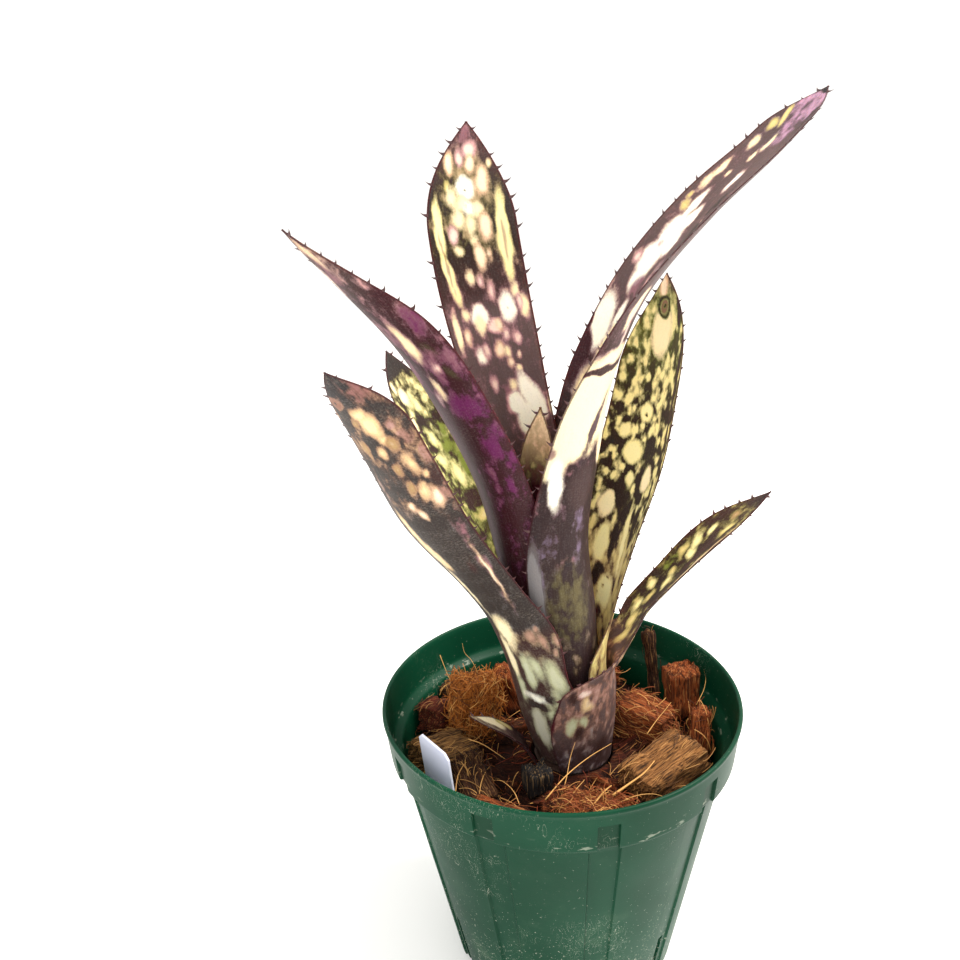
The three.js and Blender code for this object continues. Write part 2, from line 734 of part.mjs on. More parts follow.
const part = new THREE.Group();
part.add(named('pot', pot(), finish(0x3e6c50, 0.5)));
part.add(named('potting_mix', pottingMix(), finish(0x6a4023, 0.95)));
const label = tagSolid(LABEL_WIDTH, LABEL_THICKNESS, LABEL_FOOT, LABEL_TOP, LABEL_CUT);
part.add(named('label', label, finish(0xe8ebf2, 0.4)));
part.add(named('stem', stem(), finish(0x8c8a6a, 0.7)));
for (const plan of LEAVES) {
  part.add(named(plan.name, leafSolid(plan), finish(plan.color, 0.55)));
}

export default part;
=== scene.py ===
import math

import bmesh
import bpy
import numpy as np
from mathutils import Euler, Matrix, Vector, noise


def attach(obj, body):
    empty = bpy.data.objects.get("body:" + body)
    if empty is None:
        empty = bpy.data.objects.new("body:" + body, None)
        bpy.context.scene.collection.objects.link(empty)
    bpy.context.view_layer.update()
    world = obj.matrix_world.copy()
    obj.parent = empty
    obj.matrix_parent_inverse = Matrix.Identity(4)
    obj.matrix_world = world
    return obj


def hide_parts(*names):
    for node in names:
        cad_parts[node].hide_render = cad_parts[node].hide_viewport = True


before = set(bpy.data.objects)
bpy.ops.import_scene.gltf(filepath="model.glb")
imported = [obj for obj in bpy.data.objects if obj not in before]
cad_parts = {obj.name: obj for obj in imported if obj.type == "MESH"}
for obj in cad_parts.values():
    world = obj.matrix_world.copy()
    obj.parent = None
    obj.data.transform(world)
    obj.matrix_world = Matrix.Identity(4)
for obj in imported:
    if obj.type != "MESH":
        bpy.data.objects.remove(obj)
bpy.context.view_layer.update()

# Huay sok white billbergia in its nursery pot. Lengths in the tables are millimetres.
# A heading of 0 degrees points to the front, along -Y, and 90 degrees points to the right, along +X.
MM = 0.001

# The camera of the photo
CAMERA_PLACE = (-0.0293, -0.3276, 0.3431)
CAMERA_TILT = 69.84
CAMERA_ROLL = -2.79
CAMERA_LENS = 33.75

# The pot: a tapered wall under a plain rim band, with flat strips, notches above them and slits at the foot
BAND_FOOT = 106.5
BAND_FOOT_RADIUS = 73
BAND_SLOPE = 0.105
WALL_TOP_RADIUS = 69.2
WALL_TOP = 104
FOOT_RADIUS = 49.6
FOOT_ROUNDING = 1.2
FLOOR_TOP = 2.4
INSIDE_FOOT_RADIUS = 47.6
INSIDE_SLOPE = 0.194
STRIP_COUNT = 10
STRIP_PITCH = 360 / STRIP_COUNT
STRIP_PHASE = 8
STRIP_HALF_ANGLE = 4.95
STRIP_DEPTH = 0.9
NOTCH_HALF_ANGLE = 3.2
NOTCH_TOP = 117.9
NOTCH_DEPTH = 1.1
SLIT_WIDTH = 3
SLIT_HEIGHT = 28
SLIT_RADIUS = 55
SLIT_REACH = 30
SHARP_ANGLE = 38

# The tube of leaf sheaths: a flared trunk that leans to the left, one layer inside another
TUBE_FOOT = 96
TUBE_FOOT_RADIUS = 16.5
TUBE_FLARE = 9.5
TUBE_FLARE_LENGTH = 38
TUBE_FOOT_X = 5
TUBE_LEAN = 0.106
LAYER_STEP = 1.8
BLADE_THICKNESS = 0.8
MARGIN_THICKNESS = 0.4
MARGIN_WIDTH = 2.5
RIM_BULGE = 0.18
BLADE_COLUMNS = 54
BLADE_PITCH = 0.9
EDGE_CROWDING = 0.8
TIP_SHARE = 0.6
LEAST_HALF_WIDTH = 0.35
SPINE_PITCH = 5.6
SPINE_LENGTH = 2.9
SPINE_WIDTH = 0.78

# The mix, with a pocket for the short leaf and a slot for the label
BED_TOP = 96.6
BED_MIDDLE = 92.8
BED_RADIUS = 64.2
BED_HOLE_RADIUS = 17.9
BED_HOLE_FLOOR = 83.2
BED_UNDERSIDE = 3.1
BED_SIDES = 120
LITTER_FLOOR = 89
LITTER_SPACING = 8
LEDGE_RADIUS = 67.4
WALL_ROOM = 0.9
TUBE_ROOM = 1.2
BASAL_FOOT = (-16.5, -6.5)
LABEL_HEADING = -54
LABEL_RADIUS = 64.5
LABEL_TOP = 130
LABEL_LEAN = 5
LABEL_FOOT = (-49.8, -36.2)
LABEL_ROOM = 1.1
LABEL_HALF_WIDTH = 11
LABEL_FOOT_HEIGHT = 87
LABEL_SLOT = (21, 1.6, 43)
LABEL_SLOT_DEPTH = 21.2


def colour(code):
    """A colour code such as "6a4023" as linear red, green, blue and alpha."""
    parts = [int(code[i:i + 2], 16) / 255 for i in (0, 2, 4)]
    return tuple(c / 12.92 if c <= 0.04045 else ((c + 0.055) / 1.055) ** 2.4 for c in parts) + (1.0,)


# Node trees: maths is written as Python expressions
class Value:
    """A number, vector, colour or shape in a node tree. An operator on a number adds a Math node."""

    def __init__(self, graph, socket):
        self.graph = graph
        self.socket = socket

    def output(self, name):
        """Another output of the same node."""
        return Value(self.graph, self.socket.node.outputs[name])

    def _maths(self, operation, *terms):
        return self.graph.add("ShaderNodeMath", {"operation": operation}, dict(enumerate(terms)))

    def __add__(self, other):
        return self._maths("ADD", self, other)

    def __sub__(self, other):
        return self._maths("SUBTRACT", self, other)

    def __rsub__(self, other):
        return self._maths("SUBTRACT", other, self)

    def __mul__(self, other):
        return self._maths("MULTIPLY", self, other)

    __radd__ = __add__
    __rmul__ = __mul__

    def at_least(self, other):
        return self._maths("MAXIMUM", self, other)

    def step(self, low, high):
        """0 at low and 1 at high, with a smooth rise between them."""
        settings = {"interpolation_type": "SMOOTHSTEP"}
        return self.graph.add("ShaderNodeMapRange", settings, {0: self, 1: low, 2: high})


class Graph:
    """A node tree that grows node by node."""

    def __init__(self, tree):
        self.tree = tree

    def add(self, kind, settings=None, sockets=None, output=0):
        """Adds a node: its settings first, then its sockets' values or links. Gives one of its outputs."""
        node = self.tree.nodes.new(kind)
        for name, setting in (settings or {}).items():
            setattr(node, name, setting)
        for key, given in (sockets or {}).items():
            for value in given if isinstance(given, list) else [given]:
                if isinstance(value, Value):
                    self.tree.links.new(value.socket, node.inputs[key])
                else:
                    node.inputs[key].default_value = value
        return Value(self, node.outputs[output]) if len(node.outputs) else None

    def vector(self, operation, first, second):
        """Vector maths. What SCALE multiplies by is a number."""
        sockets = {0: first, 3 if operation == "SCALE" else 1: second}
        return self.add("ShaderNodeVectorMath", {"operation": operation}, sockets)

    def noise(self, vector, scale, detail=3.0, roughness=0.5, distortion=0.0, output=0):
        """Noise at one scale, or at a scale for each axis."""
        if isinstance(scale, tuple):
            vector, scale = self.vector("MULTIPLY", vector, scale), 1.0
        sockets = {"Vector": vector, "Scale": scale, "Detail": detail, "Roughness": roughness}
        return self.add("ShaderNodeTexNoise", None, sockets | {"Distortion": distortion}, output)

    def mix(self, first, second, share):
        """The first colour with a share of the second. A plain colour is given as its code."""
        first, second = (colour(tone) if isinstance(tone, str) else tone for tone in (first, second))
        return self.add("ShaderNodeMix", {"data_type": "RGBA"}, {0: share, 6: first, 7: second}, 2)


class Finish(Graph):
    """One material, built from nodes on a single Principled shader."""

    def __init__(self, name):
        self.material = bpy.data.materials.new(name)
        self.material.use_nodes = True
        super().__init__(self.material.node_tree)
        self.tree.nodes.clear()

    def where(self):
        return self.add("ShaderNodeTexCoord", output="Object")

    def height(self):
        return self.add("ShaderNodeSeparateXYZ", None, {0: self.where()}, 2)

    def attribute(self, name, output="Fac"):
        return self.add("ShaderNodeAttribute", {"attribute_name": name}, output=output)

    def cells(self, vector):
        return self.add("ShaderNodeTexVoronoi", {"feature": "SMOOTH_F1"}, {"Vector": vector, "Scale": 1.0})

    def layered(self, tone, *layers):
        """A colour under layers, each a colour and its share."""
        for over, share in layers:
            tone = self.mix(tone, over, share)
        return tone

    def bump(self, height, distance, strength):
        sockets = {"Height": height, "Distance": distance, "Strength": strength}
        return self.add("ShaderNodeBump", None, sockets)

    def done(self, **sockets):
        sockets = {name.replace("_", " "): value for name, value in sockets.items()}
        shader = self.add("ShaderNodeBsdfPrincipled", None, sockets)
        self.add("ShaderNodeOutputMaterial", None, {0: shader})
        return self.material


class Tree(Graph):
    """One Geometry Nodes tree with named inputs."""

    def __init__(self, name, **inputs):
        super().__init__(bpy.data.node_groups.new(name, "GeometryNodeTree"))
        for label, kind in {"Geometry": "Geometry", **inputs}.items():
            self.tree.interface.new_socket(label, in_out="INPUT", socket_type="NodeSocket" + kind)
        self.tree.interface.new_socket("Geometry", in_out="OUTPUT", socket_type="NodeSocketGeometry")
        self.source = self.tree.nodes.new("NodeGroupInput")

    def input(self, label):
        return Value(self, self.source.outputs[label])

    def shape(self, kind, sockets=None, **settings):
        """A node of the Geometry Nodes' own kinds."""
        return self.add("GeometryNode" + kind, settings, sockets)

    def named(self, name, kind):
        return self.shape("InputNamedAttribute", {0: name}, data_type=kind)

    def kept(self, geometry, name, kind, value, domain="INSTANCE"):
        """The geometry with a value kept on it under a name."""
        sockets = {"Geometry": geometry, "Name": name, "Value": value}
        return self.shape("StoreNamedAttribute", sockets, data_type=kind, domain=domain)

    def random(self, low, high, seed, kind="FLOAT"):
        """A random value for each point, from low to high."""
        k = ("FLOAT_VECTOR", "FLOAT", "INT").index(kind)
        sockets = {2 * k: low, 2 * k + 1: high, "Seed": seed}
        return self.add("FunctionNodeRandomValue", {"data_type": kind}, sockets, k)

    def aimed(self, axis, aim, second_axis, second_aim):
        """A rotation that points one axis at its aim, and a second axis near to an aim of its own."""
        kind = "FunctionNodeAlignRotationToVector"
        turn = self.add(kind, {"axis": axis}, {"Vector": aim})
        settings = {"axis": second_axis, "pivot_axis": axis}
        return self.add(kind, settings, {"Rotation": turn, "Vector": second_aim})

    def instances(self, points, shape, turn, size, pick=None):
        sockets = {"Points": points, "Instance": shape, "Rotation": turn, "Scale": size}
        return self.shape("InstanceOnPoints", sockets | (pick or {}))

    def realized(self, instances):
        return self.shape("RealizeInstances", {0: instances})

    def covered(self, geometry, label):
        """The geometry with the material of a named input."""
        return self.shape("SetMaterial", {"Geometry": geometry, "Material": self.input(label)})

    def joined(self, *shapes):
        return self.shape("JoinGeometry", {0: list(shapes)})

    def done(self, geometry):
        self.add("NodeGroupOutput", None, {0: geometry})
        return self.tree


# Meshes
def turned(angle, axis):
    """A turn by an angle in degrees as a matrix."""
    return Matrix.Rotation(math.radians(angle), 4, axis)


def in_scene(name, data):
    piece = bpy.data.objects.new(name, data)
    bpy.context.scene.collection.objects.link(piece)
    return piece


def mesh_object(name, points, faces, material=None):
    """A smooth mesh from points in metres."""
    mesh = bpy.data.meshes.new(name)
    mesh.from_pydata([tuple(p) for p in points], [], [tuple(f) for f in faces])
    mesh.validate()
    if material:
        mesh.materials.append(material)
    mesh.shade_smooth()
    return in_scene(name, mesh)


def store(piece, name, kind, values):
    """Keeps one value for each point of a piece: FLOAT, FLOAT_VECTOR, FLOAT_COLOR or BOOLEAN."""
    key = {"FLOAT_VECTOR": "vector", "FLOAT_COLOR": "color"}.get(kind, "value")
    values = np.asarray(values, bool if kind == "BOOLEAN" else np.float32)
    piece.data.attributes.new(name, kind, "POINT").data.foreach_set(key, values.ravel())


def all_over(code, count):
    """One colour for each of a count of points."""
    return np.broadcast_to(colour(code), (count, 4))


def heading_vector(heading):
    angle = np.radians(heading)
    return np.stack([np.sin(angle), -np.cos(angle), 0 * angle], -1)


def unit(vectors):
    return vectors / np.linalg.norm(vectors, axis=-1, keepdims=True)


def smooth(values, at):
    """Reads rows of numbers as smooth curves at station numbers."""
    values = np.asarray(values, float)
    last = len(values) - 1
    i = np.clip(np.floor(at).astype(int), 0, last - 1)
    t = (at - i)[:, None]
    p1, p2 = values[i], values[i + 1]
    before = values[np.maximum(i - 1, 0)]
    after = values[np.minimum(i + 2, last)]
    m1 = np.where((i > 0)[:, None], (p2 - before) / 2, p2 - p1)
    m2 = np.where((i + 2 <= last)[:, None], (after - p1) / 2, p2 - p1)
    t2, t3 = t * t, t * t * t
    return (2 * t3 - 3 * t2 + 1) * p1 + (t3 - 2 * t2 + t) * m1 + (-2 * t3 + 3 * t2) * p2 + (t3 - t2) * m2


def ring_faces(rings, count, start=0, inward=False):
    """Quads between rings that follow one another, each a closed ring of a count of points."""
    faces = []
    for first in range(start, start + (rings - 1) * count, count):
        for i in range(count):
            a, b = first + i, first + (i + 1) % count
            faces.append((a, a + count, b + count, b) if inward else (a, b, b + count, a + count))
    return faces


def closed_shell(rings, hubs, inward=False):
    """Points and faces of rings that a fan closes at either end, each round its hub."""
    count = len(rings[0])
    points = np.concatenate([*rings, hubs])
    faces = ring_faces(len(rings), count, 0, inward)
    hub, last = len(points) - 2, (len(rings) - 1) * count
    for i in range(count):
        a, b = (i, (i + 1) % count) if inward else ((i + 1) % count, i)
        faces += [(a, b, hub), (last + b, last + a, hub + 1)]
    return points, faces


def baked(piece):
    """The piece with its modifiers turned into plain mesh."""
    graph = bpy.context.evaluated_depsgraph_get()
    shape = piece.evaluated_get(graph)
    mesh = bpy.data.meshes.new_from_object(shape, preserve_all_data_layers=True, depsgraph=graph)
    piece.modifiers.clear()
    old = piece.data
    piece.data = mesh
    bpy.data.meshes.remove(old)
    return piece


def cut_away(piece, size, places):
    """The piece less a block of a size in mm at each of the places, which are matrices."""
    blocks = bmesh.new()
    for place in places:
        bmesh.ops.create_cube(blocks, size=1, matrix=place @ Matrix.Diagonal((*size, 1)))
    mesh = bpy.data.meshes.new("cutter")
    blocks.to_mesh(mesh)
    blocks.free()
    mesh.transform(Matrix.Scale(MM, 4))
    cutter = in_scene("cutter", mesh)
    cut = piece.modifiers.new("cut", "BOOLEAN")
    cut.operation = "DIFFERENCE"
    cut.solver = "EXACT"
    cut.object = cutter
    baked(piece)
    bpy.data.objects.remove(cutter)
    return piece


def grow(piece, tree, **inputs):
    """Runs a Geometry Nodes tree on a piece, with its named inputs, and keeps the plain mesh."""
    modifier = piece.modifiers.new(tree.name, "NODES")
    modifier.node_group = tree
    for item in tree.interface.items_tree:
        if item.item_type == "SOCKET" and item.in_out == "INPUT" and item.name in inputs:
            modifier[item.identifier] = inputs[item.name]
    return baked(piece)


def declare(piece, node):
    """The piece rides on the root body, and the CAD node that it stands in for is hidden."""
    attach(piece, "root")
    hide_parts(node)


# The camera, the light and the floor
def place_camera():
    data = bpy.data.cameras.new("camera")
    data.sensor_width = 36
    data.lens = CAMERA_LENS
    data.clip_start = 0.01
    camera = in_scene("camera", data)
    turn = turned(CAMERA_TILT, "X") @ turned(CAMERA_ROLL, "Z")
    camera.matrix_world = Matrix.Translation(CAMERA_PLACE) @ turn
    bpy.context.scene.camera = camera


def area_light(name, place, target, size, power, tone):
    data = bpy.data.lights.new(name, "AREA")
    data.shape = "DISK"
    data.size = size
    data.energy = power
    data.color = tone
    aim = (Vector(target) - Vector(place)).to_track_quat("-Z", "Y")
    in_scene(name, data).matrix_world = Matrix.Translation(place) @ aim.to_matrix().to_4x4()


def light_studio():
    world = bpy.data.worlds.new("studio")
    bpy.context.scene.world = world
    world.use_nodes = True
    background = world.node_tree.nodes["Background"]
    background.inputs["Color"].default_value = (1, 0.985, 0.955, 1)
    background.inputs["Strength"].default_value = 1.18
    area_light("key", (0.75, 0.2, 1.3), (0, 0, 0.2), 0.45, 30, (1.0, 0.96, 0.9))
    area_light("front", (-0.5, -1.3, 1.0), (0, 0, 0.15), 0.9, 8, (1, 1, 1))
    bpy.context.scene.view_settings.view_transform = "Standard"


def lay_floor(half=40.0):
    finish = Finish("floor")
    tone = finish.mix("fefefd", "fbfbfa", finish.noise(finish.where(), 6.0, 4.0))
    corners = [(-half, -half, 0), (half, -half, 0), (half, half, 0), (-half, half, 0)]
    mesh_object("floor", corners, [(0, 1, 2, 3)], finish.done(Base_Color=tone, Roughness=0.85))


# Pot
def inside_radius(z):
    """The radius of the pot's space, under its inner ledge."""
    return INSIDE_FOOT_RADIUS + (z - FLOOR_TOP) * INSIDE_SLOPE


def pot_profile():
    """Radius, height, and the shares of the strip's and the notch's recess at each row of the wall."""
    slope = (WALL_TOP_RADIUS - FOOT_RADIUS) / (WALL_TOP - FOOT_ROUNDING)
    rows = [(FOOT_RADIUS - FOOT_ROUNDING, 0, 1, 0), (FOOT_RADIUS - 0.35, 0.35, 1, 0)]
    for z in np.linspace(FOOT_ROUNDING, WALL_TOP, 30):
        rows.append((FOOT_RADIUS + slope * (z - FOOT_ROUNDING), z, 1, 0))
    rows += [(69.45, 105, 0.4, 0), (69.9, 105.6, 0, 0), (70.6, 105.95, 0, 0), (72.2, 106, 0, 1)]
    rows += [(72.7, 106.15, 0, 1), (72.95, 106.5, 0, 1)]
    for z in [*np.linspace(107.2, 117.4, 9), 117.8, 118.2, 118.6, *np.linspace(119.4, 122.8, 4)]:
        rows.append((BAND_FOOT_RADIUS + (z - BAND_FOOT) * BAND_SLOPE, z, 0, float(z < NOTCH_TOP)))
    rim = [(74.95, 123.3), (75.25, 123.9), (75.2, 124.5), (74.85, 124.95), (74.3, 125.1), (73.8, 124.9)]
    rim += [(73.5, 124.4)]
    rim += [(71.6 + (z - 109) * 0.115, z) for z in np.linspace(122.5, 110, 6)]
    rim += [(71.5, 109.2), (71.0, 108.5), (68.5, 106.7), (67.9, 106.2), (67.6, 105.4)]
    rim += [(inside_radius(z), z) for z in np.linspace(102, 2.6, 12)]
    return rows + [(radius, z, 0, 0) for radius, z in rim]


def pot_headings():
    """Headings round the pot: close together where a strip or a notch has an edge."""
    near_edges = [-5.5, -5.25, -4.75, -4.5, -3.6, -3.3, -3.1, -2, 0, 2, 3.1, 3.3, 3.6, 4.5, 4.75, 5.25, 5.5]
    offsets = np.array([*near_edges, *np.linspace(6.5, 29.5, 20)])
    return np.concatenate([STRIP_PHASE + i * STRIP_PITCH + offsets for i in range(STRIP_COUNT)])


def build_pot():
    headings = pot_headings()
    off = np.abs((headings - STRIP_PHASE + STRIP_PITCH / 2) % STRIP_PITCH - STRIP_PITCH / 2)
    in_strip, in_notch = off < STRIP_HALF_ANGLE, off < NOTCH_HALF_ANGLE
    rings, notch_shade_shares = [], []
    for radius, z, strip, notch in pot_profile():
        depth = STRIP_DEPTH * strip * in_strip + NOTCH_DEPTH * notch * in_notch
        rings.append(heading_vector(headings) * (radius - depth)[:, None] + (0, 0, z))
        # A notch's share also darkens its colour: painted shade in the recess under the band
        notch_shade_shares.append(notch * in_notch)
    points, faces = closed_shell(rings, [(0, 0, 0), (0, 0, FLOOR_TOP)])
    piece = mesh_object("nursery_pot", points * MM, faces, pot_finish())
    store(piece, "pocket", "FLOAT", [*np.ravel(notch_shade_shares), 0, 0])
    out = Matrix.Translation((0, -SLIT_RADIUS, 0))
    slits = [turned(STRIP_PHASE + i * STRIP_PITCH, "Z") @ out for i in range(STRIP_COUNT)]
    cut_away(piece, (SLIT_WIDTH, SLIT_REACH, 2 * SLIT_HEIGHT), slits)
    for edge in piece.data.edges:
        edge.use_edge_sharp = False
    piece.data.set_sharp_from_angle(angle=math.radians(SHARP_ANGLE))
    declare(piece, "pot")


def pot_finish():
    finish = Finish("pot_green_plastic")
    where, height = finish.where(), finish.height()
    low = height.step(0.09, 0.0)
    specks = (finish.noise(where, 900.0, 2.0, 0.7) + low * 0.07).step(0.69, 0.75) * (0.35 + low * 0.65)
    film = finish.noise(where, 55.0, 6.0, 0.65).step(0.52, 0.75) * (low * 0.2 + 0.02)
    scratches = finish.noise(where, (260, 260, 90), 1.0, 0.4, 2.5) - 0.5
    lines = (1 - scratches.step(0.0, 0.006)) * scratches.step(-0.006, 0.0)
    patch = finish.noise(where, 30.0, 2.0).step(0.52, 0.6)
    edge = height.step(0.1045, 0.107) * height.step(0.113, 0.108)
    scuffs = finish.noise(where, (150, 150, 420), 3.0, 0.6).step(0.6, 0.68) * edge
    marks = (lines * patch * 0.9).at_least(scuffs * 0.4)
    tone = finish.layered(
        "033421", ("083f2a", finish.noise(where, 14.0).step(0.35, 0.65)), ("8a9a80", film),
        # The notches are darkened: painted shade in the recess under the band
        ("01220f", finish.attribute("pocket") * 0.4), ("cfd3bf", specks.at_least(marks) * 0.7),
    )
    rough = finish.noise(where, 40.0, 4.0) * 0.2 + 0.33 + film * 0.5
    normal = finish.bump(finish.noise(where, 1800.0, 2.0), 0.00006, 0.35)
    return finish.done(Base_Color=tone, Roughness=rough, Normal=normal, Specular_IOR_Level=0.11)


# Leaves
def tube_radius(z, layer):
    rise = np.maximum(z - TUBE_FOOT, 0)
    return TUBE_FOOT_RADIUS + TUBE_FLARE * (1 - np.exp(-rise / TUBE_FLARE_LENGTH)) - layer * LAYER_STEP


def tube_axis(z):
    """How far to the right the middle of the tube is at a height."""
    return TUBE_FOOT_X - TUBE_LEAN * (z - TUBE_FOOT)


def sheath_station(heading, layer, z, wrap):
    radius = tube_radius(z, layer)
    x, y, _ = heading_vector(heading) * radius
    return [x + tube_axis(z), y, z, radius * math.radians(wrap), wrap, 0]


# The leaves from the outermost sheath to the innermost, and last the short leaf at the foot.
# A sheath row holds a height and the wrap in degrees.
# A blade row holds the keel's x, y and z, the half width laid flat, and the cup and roll in degrees.
LEAVES = {
    "leaf_right_low": dict(heading=105, layer=0, tip=30, teeth=2.4, sheath=[
        (96, 128), (115, 129), (130, 117), (141, 98),
    ], blade=[
        (29.5, 4.5, 149, 12, 40, -4), (37, 8.5, 158, 11.5, 44, -10), (48, 10.5, 170, 10.5, 40, -6),
        (61, 12, 184, 10, 32, 0), (75, 13, 196, 9, 26, 0), (89, 13, 207, 7, 20, 0),
    ]),
    "leaf_left_low": dict(heading=-58, layer=1, tip=28, teeth=2.6, sheath=[
        (98.5, 117), (118, 97), (142, 65),
    ], blade=[
        (-24.5, -11, 162, 26, 66, 0), (-33, -17, 182, 20, 52, 12), (-48.5, -29, 212, 18, 42, 24),
        (-58.5, -40, 243, 15.5, 34, 28), (-66.5, -49, 265.5, 14.5, 30, 28), (-75.5, -56, 281, 13.5, 28, 28),
    ]),
    "leaf_right_back": dict(heading=122, layer=2, tip=40, teeth=2, sheath=[
        (102, 104), (125, 92), (148, 85),
    ], blade=[
        (21, 14, 166, 17, 47, 0), (28.5, 21, 190, 21, 48, 0), (38.5, 26, 220, 21, 42, 0),
        (44.5, 31, 250, 19, 34, 0), (48.5, 36, 275, 17.5, 30, 0), (50, 40, 293, 16, 26, 0),
    ]),
    "leaf_left_back": dict(heading=-128, layer=3, tip=28, teeth=2, sheath=[
        (106, 98), (128, 92), (152, 70),
    ], blade=[
        (-22, 17.2, 175, 16, 43, 0), (-33, 24, 200, 15.5, 42, 0), (-46, 29, 227, 14, 38, 0),
        (-58, 33, 250, 12.5, 30, 0), (-65, 35, 268, 11, 26, 0),
    ]),
    "leaf_right_arch": dict(heading=84, layer=4, tip=24, teeth=2.4, sheath=[
        (111, 118), (135, 116), (165, 114), (200, 106),
    ], blade=[
        (17.2, 0, 236, 27, 102, 0), (22.3, 2, 262, 23.5, 74, 6), (34, 5, 291, 19.5, 46, 11),
        (56.5, 9, 317.5, 17, 38, 16), (81, 14, 339, 13, 34, 20), (101, 18, 358.5, 11.5, 30, 22),
    ]),
    "leaf_left_arch": dict(heading=-70, layer=5, tip=50, teeth=2.4, sheath=[
        (116, 100), (138, 98), (165, 94),
    ], blade=[
        (-23, -4.5, 192, 23.5, 90, 0), (-29.5, -3.5, 220, 23.5, 86, 0), (-40, -11, 250, 22, 65, 8),
        (-53, -19, 278, 19.5, 50, 14), (-70.5, -26, 301.5, 12, 48, 18), (-88.5, -30, 322, 6.5, 42, 24),
    ]),
    "leaf_tall_back": dict(heading=184, layer=6, tip=38, teeth=2.6, sheath=[
        (121, 90), (145, 84), (175, 74),
    ], blade=[
        (-5.5, 15, 205, 15, 60, 0), (-10.5, 16, 235, 13.5, 44, 0), (-19, 19, 265, 16.5, 32, 0),
        (-25, 23, 295, 17.5, 26, 0), (-28.5, 27, 325, 17, 22, 0), (-28, 31, 353, 16, 20, 0),
    ]),
    "leaf_heart": dict(heading=160, layer=8, tip=26, teeth=3.4, sheath=[
        (126, 150), (150, 140),
    ], blade=[
        (-2, 7, 180, 18, 130, 0), (-4, 6.5, 210, 14, 100, 0), (-5.5, 5, 232, 9, 70, 0),
        (-5, 3, 250, 6, 50, 0),
    ]),
    "leaf_basal": dict(heading=-75, layer=-1.2, tip=16, teeth=1.5, sheath=[
        (97, 22),
    ], blade=[
        (-16.5, -6.5, 104, 7, 25, 0), (-22, -9, 111, 6.5, 30, 0), (-29.5, -11.5, 118, 5.5, 30, 0),
        (-38.5, -14, 125, 4, 25, 0),
    ]),
}


def blade_surface(plan):
    """The leaf's middle surface as a grid of points in mm, with its directions and flat measures."""
    stations = [sheath_station(plan["heading"], plan["layer"], z, wrap) for z, wrap in plan["sheath"]]
    stations = np.array(stations + [list(row) for row in plan["blade"]], float)
    last = len(stations) - 1
    fine = np.linspace(0, last, last * 40 + 1)
    keel = smooth(stations, fine)[:, :3]
    run = np.concatenate([[0], np.cumsum(np.linalg.norm(np.diff(keel, axis=0), axis=1))])
    length, tip = run[-1], plan["tip"]
    body = np.arange(0, length - tip * TIP_SHARE, BLADE_PITCH)
    end = length - tip * TIP_SHARE * np.linspace(1, 0, int(tip * 1.4)) ** 1.3
    places = np.concatenate([body, end[end > body[-1] + BLADE_PITCH * 0.4]])
    at = np.interp(places, run, fine)
    rows = smooth(stations, at)
    ahead, behind = (smooth(stations, np.clip(at + off, 0, last))[:, :3] for off in (0.02, -0.02))
    bend = np.clip((at - len(plan["sheath"]) + 1) / 1.5, 0, 1)
    bend = (bend * bend * (3 - 2 * bend))[:, None]
    along = unit((1 - bend) * (0, 0, 1) + bend * unit(ahead - behind))
    level = heading_vector(plan["heading"] + 90)
    side = unit(level - (along @ level)[:, None] * along)
    inward = np.cross(along, side)
    roll = np.radians(rows[:, 5])[:, None]
    side, inward = side * np.cos(roll) + inward * np.sin(roll), inward * np.cos(roll) - side * np.sin(roll)
    to_tip = length - places
    taper = np.where(to_tip < tip, 1 - (1 - to_tip / tip) ** 2, 1)
    half = np.maximum(rows[:, 3] * taper, LEAST_HALF_WIDTH)
    radius = rows[:, 3] / np.radians(rows[:, 4])
    crowding = math.pi / 2 * EDGE_CROWDING
    across = np.sin(np.linspace(-1, 1, BLADE_COLUMNS) * crowding) / math.sin(crowding)
    angle = across * (half / radius)[:, None]
    sin, cos = np.sin(angle)[..., None], np.cos(angle)[..., None]
    side, inward = side[:, None, :], inward[:, None, :]
    middle = rows[:, None, :3] + radius[:, None, None] * (side * sin + inward * (1 - cos))
    return dict(
        middle=middle,
        normal=inward * cos - side * sin,
        outward=unit(side * np.maximum(cos, 0.2) + inward * sin * 0.4) * np.sign(across)[:, None],
        along=np.broadcast_to(along[:, None, :], middle.shape),
        across=across * half[:, None],
        inset=half[:, None] * (1 - np.abs(across)),
        to_tip=np.broadcast_to(to_tip[:, None], angle.shape),
        spined=np.broadcast_to(((at >= plan["teeth"]) & (to_tip > MARGIN_WIDTH))[:, None], angle.shape),
    )


